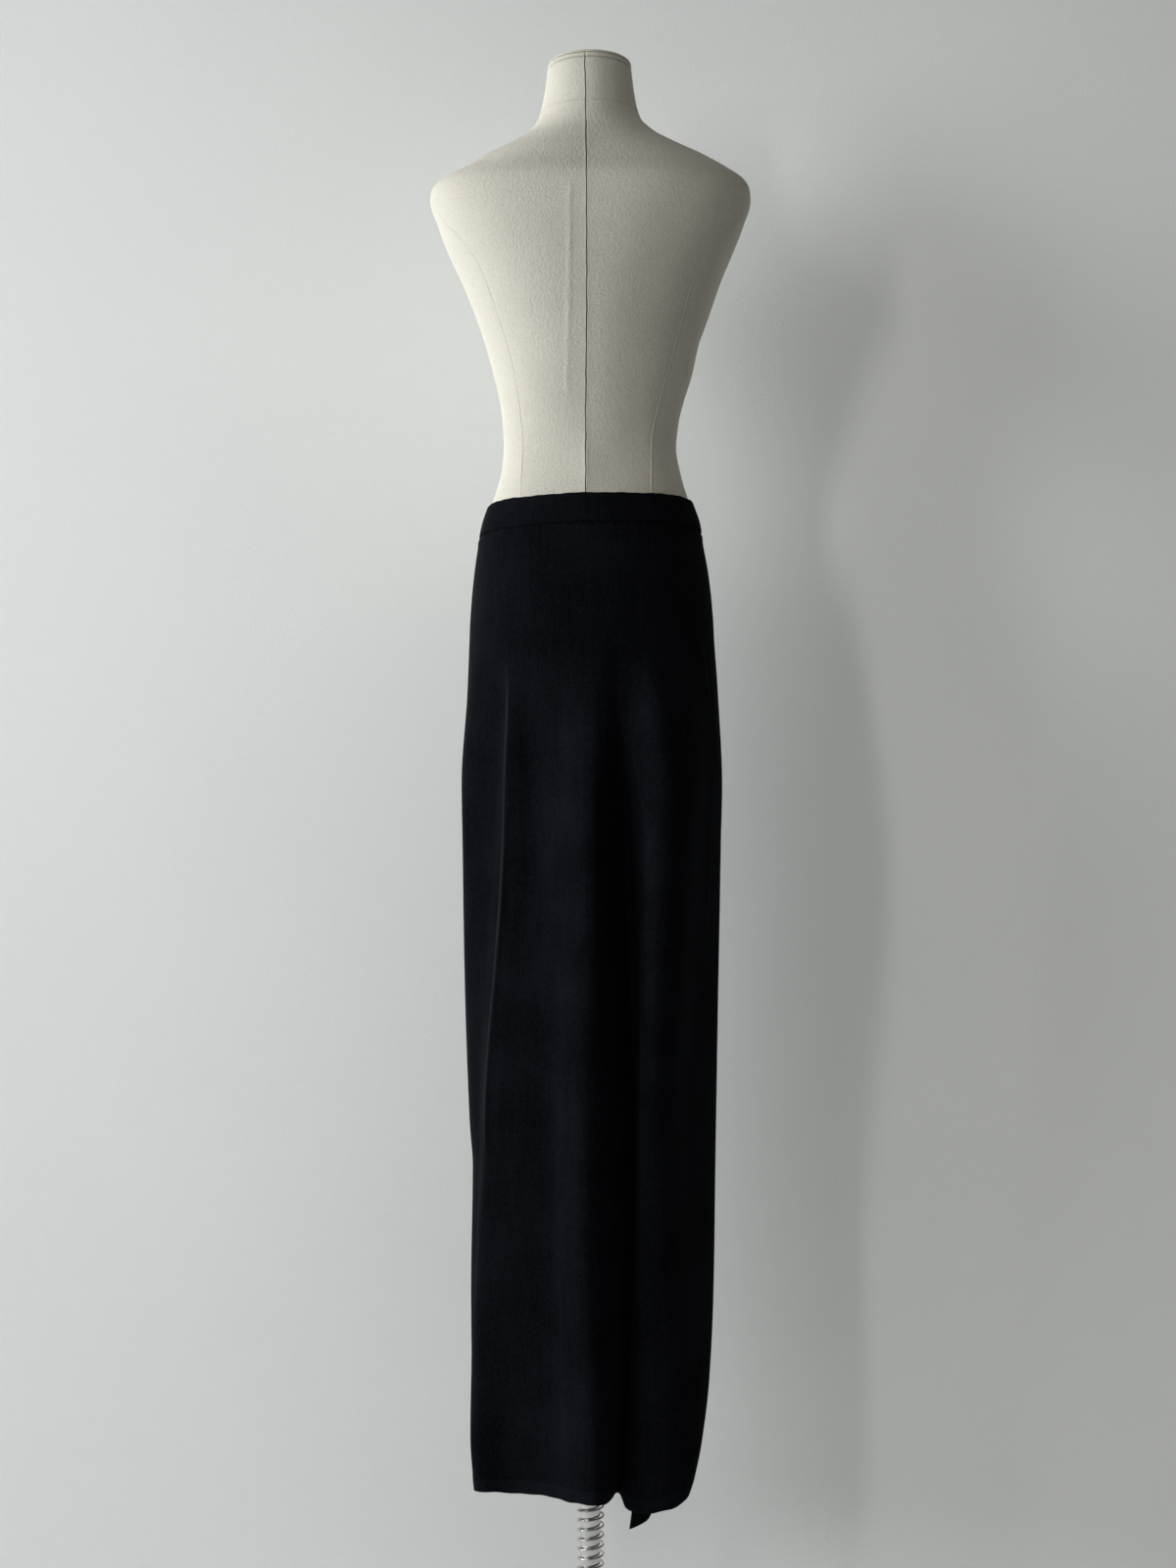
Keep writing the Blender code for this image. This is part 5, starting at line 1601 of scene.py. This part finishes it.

# %% [markdown]
# ## Riding on the body
# Every visible piece rides on the model's one body, and the solid that it stands for is hidden.
# The table pairs each piece with a finish of the record, and the widths of the cloth are worked out after
# it.

# %% Hand the pieces over
PIECES = (
    (waistband, "rib_knit", "waistband"), (skirt_back, "black_knit", "back_panel"),
    (skirt_front, "black_knit", "front_panel"), (hem_band, "rib_knit", "hem_band"),
    (torso, "canvas", "torso"), (neck_cap, "canvas", "neck_cap"), (pole, "chrome", "pole"),
    (spring, "spring_steel", "spring"), (collar, "chrome", "collar"), (hub, "chrome", "hub"),
    (base, "base_metal", "base_plate"),
)
for piece, slot, node in PIECES:
    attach(piece, "root")
    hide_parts(node)
for piece in (waist_stitches, hem_stitches, *side_stitches):
    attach(piece, "root")
frame["nodes"]["form_board"].data.materials.clear()
frame["nodes"]["form_board"].data.materials.append(board)
print(len(PIECES), "pieces stand for solids; the board keeps its own")

# %% What each sheet was cut to
widths = {name: np.ptp(grid[..., 3], axis=1) for name, grid in GRIDS.items()}

# %% [markdown]
# ## The studio
# A pale floor and a pale backdrop close behind the form, and soft windows on one side: a narrow
# one that throws a clear shadow, and two broad ones further round, which shape the folds.  A
# weak one lights the front, and a little light comes from overhead.  The backdrop is seen from
# one side only, so the front can be looked at too, and a plain wall stands all round for that.

# %% Floor and backdrop
BACKDROP_Y = -0.30
HALF_STAGE = 3.2
HALF_WALL = 1.9


def plane(name, centre, along, up, material):
    """A flat rectangle from its centre and its two half sides."""
    centre, along, up = map(np.array, (centre, along, up))
    corners = [centre - along - up, centre + along - up, centre + along + up, centre - along + up]
    data = bpy.data.meshes.new(name)
    data.from_pydata([corner.tolist() for corner in corners], [], [(0, 1, 2, 3)])
    made = show(name, data, material)
    return made


def plaster(name, colour, other, one_sided):
    """Matt paint on plaster; the backdrop is clear from behind."""
    material, shader, place = finish(name, {"Roughness": 0.9, "Specular IOR Level": 0.2})
    grain = place.noise(320.0, 3.0, 0.6)
    patches = place.noise(2.2, 2.0)
    coat = patches.ramp(0.3, 0.7).mix(colour, other)
    feed(shader, base_color=coat, normal=relief(grain, 0.0005, 0.4))
    if one_sided:
        behind = place.node("ShaderNodeNewGeometry", output="Backfacing")
        clear = place.node("ShaderNodeBsdfTransparent")
        both = place.node("ShaderNodeMixShader", None,
                          {0: behind, 1: Value(place.tree, shader.outputs[0]), 2: clear})
        output = place.tree.nodes["Material Output"]
        place.tree.links.new(both.socket, output.inputs["Surface"])
    return material


plane("floor", (0, 0, 0), (HALF_STAGE, 0, 0), (0, HALF_STAGE, 0),
      plaster("pale floor", tone(0.70, 0.705, 0.695), tone(0.68, 0.685, 0.68), False))
backdrop = plane("backdrop", (0, BACKDROP_Y, HALF_WALL), (-HALF_STAGE, 0, 0), (0, 0, HALF_WALL),
                 plaster("pale wall", tone(0.890, 0.905, 0.892), tone(0.870, 0.888, 0.878), True))
backdrop.visible_shadow = False
print("floor and backdrop are", 2 * HALF_STAGE, "m wide")

# %% A wall all round
# Its profile: radius and height, from its top down to the floor.
ROOM = ((7.2, 6.0), (7.2, 1.0), (7.0, 0.4), (6.5, 0.1), (6.0, -0.002), (2.9, -0.002))


def round_wall(name, profile, material, steps=64):
    """A pale wall all round, for the other views; it is seen, but it lights nothing."""
    turns = np.linspace(0, math.tau, steps + 1)
    rows = [np.column_stack([radius * np.cos(turns), radius * np.sin(turns), np.full(steps + 1, height)])
            for radius, height in profile]
    data = bpy.data.meshes.new(name)
    data.from_pydata(np.concatenate(rows).tolist(), [], grid_faces(len(rows), steps + 1).tolist())
    data.shade_smooth()
    made = show(name, data, material)
    made.visible_diffuse = False
    made.visible_glossy = False
    made.visible_shadow = False


paper = finish("pale paper", {"Roughness": 0.9, "Base Color": tone(0.6, 0.6, 0.6),
                              "Emission Color": tone(0.97, 1.0, 0.98), "Emission Strength": 0.20})[0]
round_wall("room", ROOM, paper)
print("the room is", 2 * ROOM[0][0], "m across")

# %% Windows
AIM = (0.0, 0.0, 1.5)          # the windows face the waist, so light fades towards the floor
WINDOW_SPREAD = 84             # degrees
# Each window: direction, distance, height, size, watts and colour.
WINDOWS = (
    ("narrow_window", 31, 4.0, 1.9, (0.22, 1.4), 4.4, (1.0, 0.985, 0.96)),
    ("tall_window", 56, 4.5, 1.9, (1.3, 2.0), 16.0, (0.96, 0.985, 1.0)),
    ("front_window", 152, 4.6, 1.9, (1.4, 2.0), 12, (1.0, 0.99, 0.97)),
    ("side_window", 80, 5.0, 2.2, (1.0, 2.0), 46, (0.955, 0.985, 1.0)),
)


def window(name, direction, distance, height, size, watts, colour):
    """A soft rectangular light; direction is in degrees from the centre back to the left."""
    angle = math.radians(direction)
    place = np.array([distance * math.sin(angle), distance * math.cos(angle), height])
    data = bpy.data.lights.new(name, "AREA")
    data.shape = "RECTANGLE"
    data.size, data.size_y = size
    data.energy = watts
    data.color = colour
    data.spread = math.radians(WINDOW_SPREAD)
    made = bpy.data.objects.new(name, data)
    made.location = place
    away = place - np.array(AIM)
    turn = math.atan2(away[0], -away[1])
    tilt = math.atan2(math.hypot(away[0], away[1]), away[2])
    made.rotation_euler = (tilt, 0.0, turn)
    bpy.context.scene.collection.objects.link(made)


for row in WINDOWS:
    window(*row)
print("lights:", [made.name for made in bpy.data.objects if made.type == "LIGHT"])

# %% Light from overhead
SKY_STRENGTH = 0.38
SKY_TONE = tone(1.0, 0.965, 0.90)
world = bpy.data.worlds.new("room light")
bpy.context.scene.world = world
world.use_nodes = True
sky = Value(world.node_tree)
upwards = sky.node("ShaderNodeSeparateXYZ", None, {0: sky.node("ShaderNodeTexCoord", output="Generated")},
                   output="Z")
overhead = upwards.math("MAXIMUM", upwards, 0.0) * SKY_STRENGTH
background = world.node_tree.nodes["Background"]
background.inputs["Color"].default_value = SKY_TONE
world.node_tree.links.new(overhead.socket, background.inputs["Strength"])
bpy.context.scene.view_settings.view_transform = "Standard"
print("the sky's strength straight up is", SKY_STRENGTH)
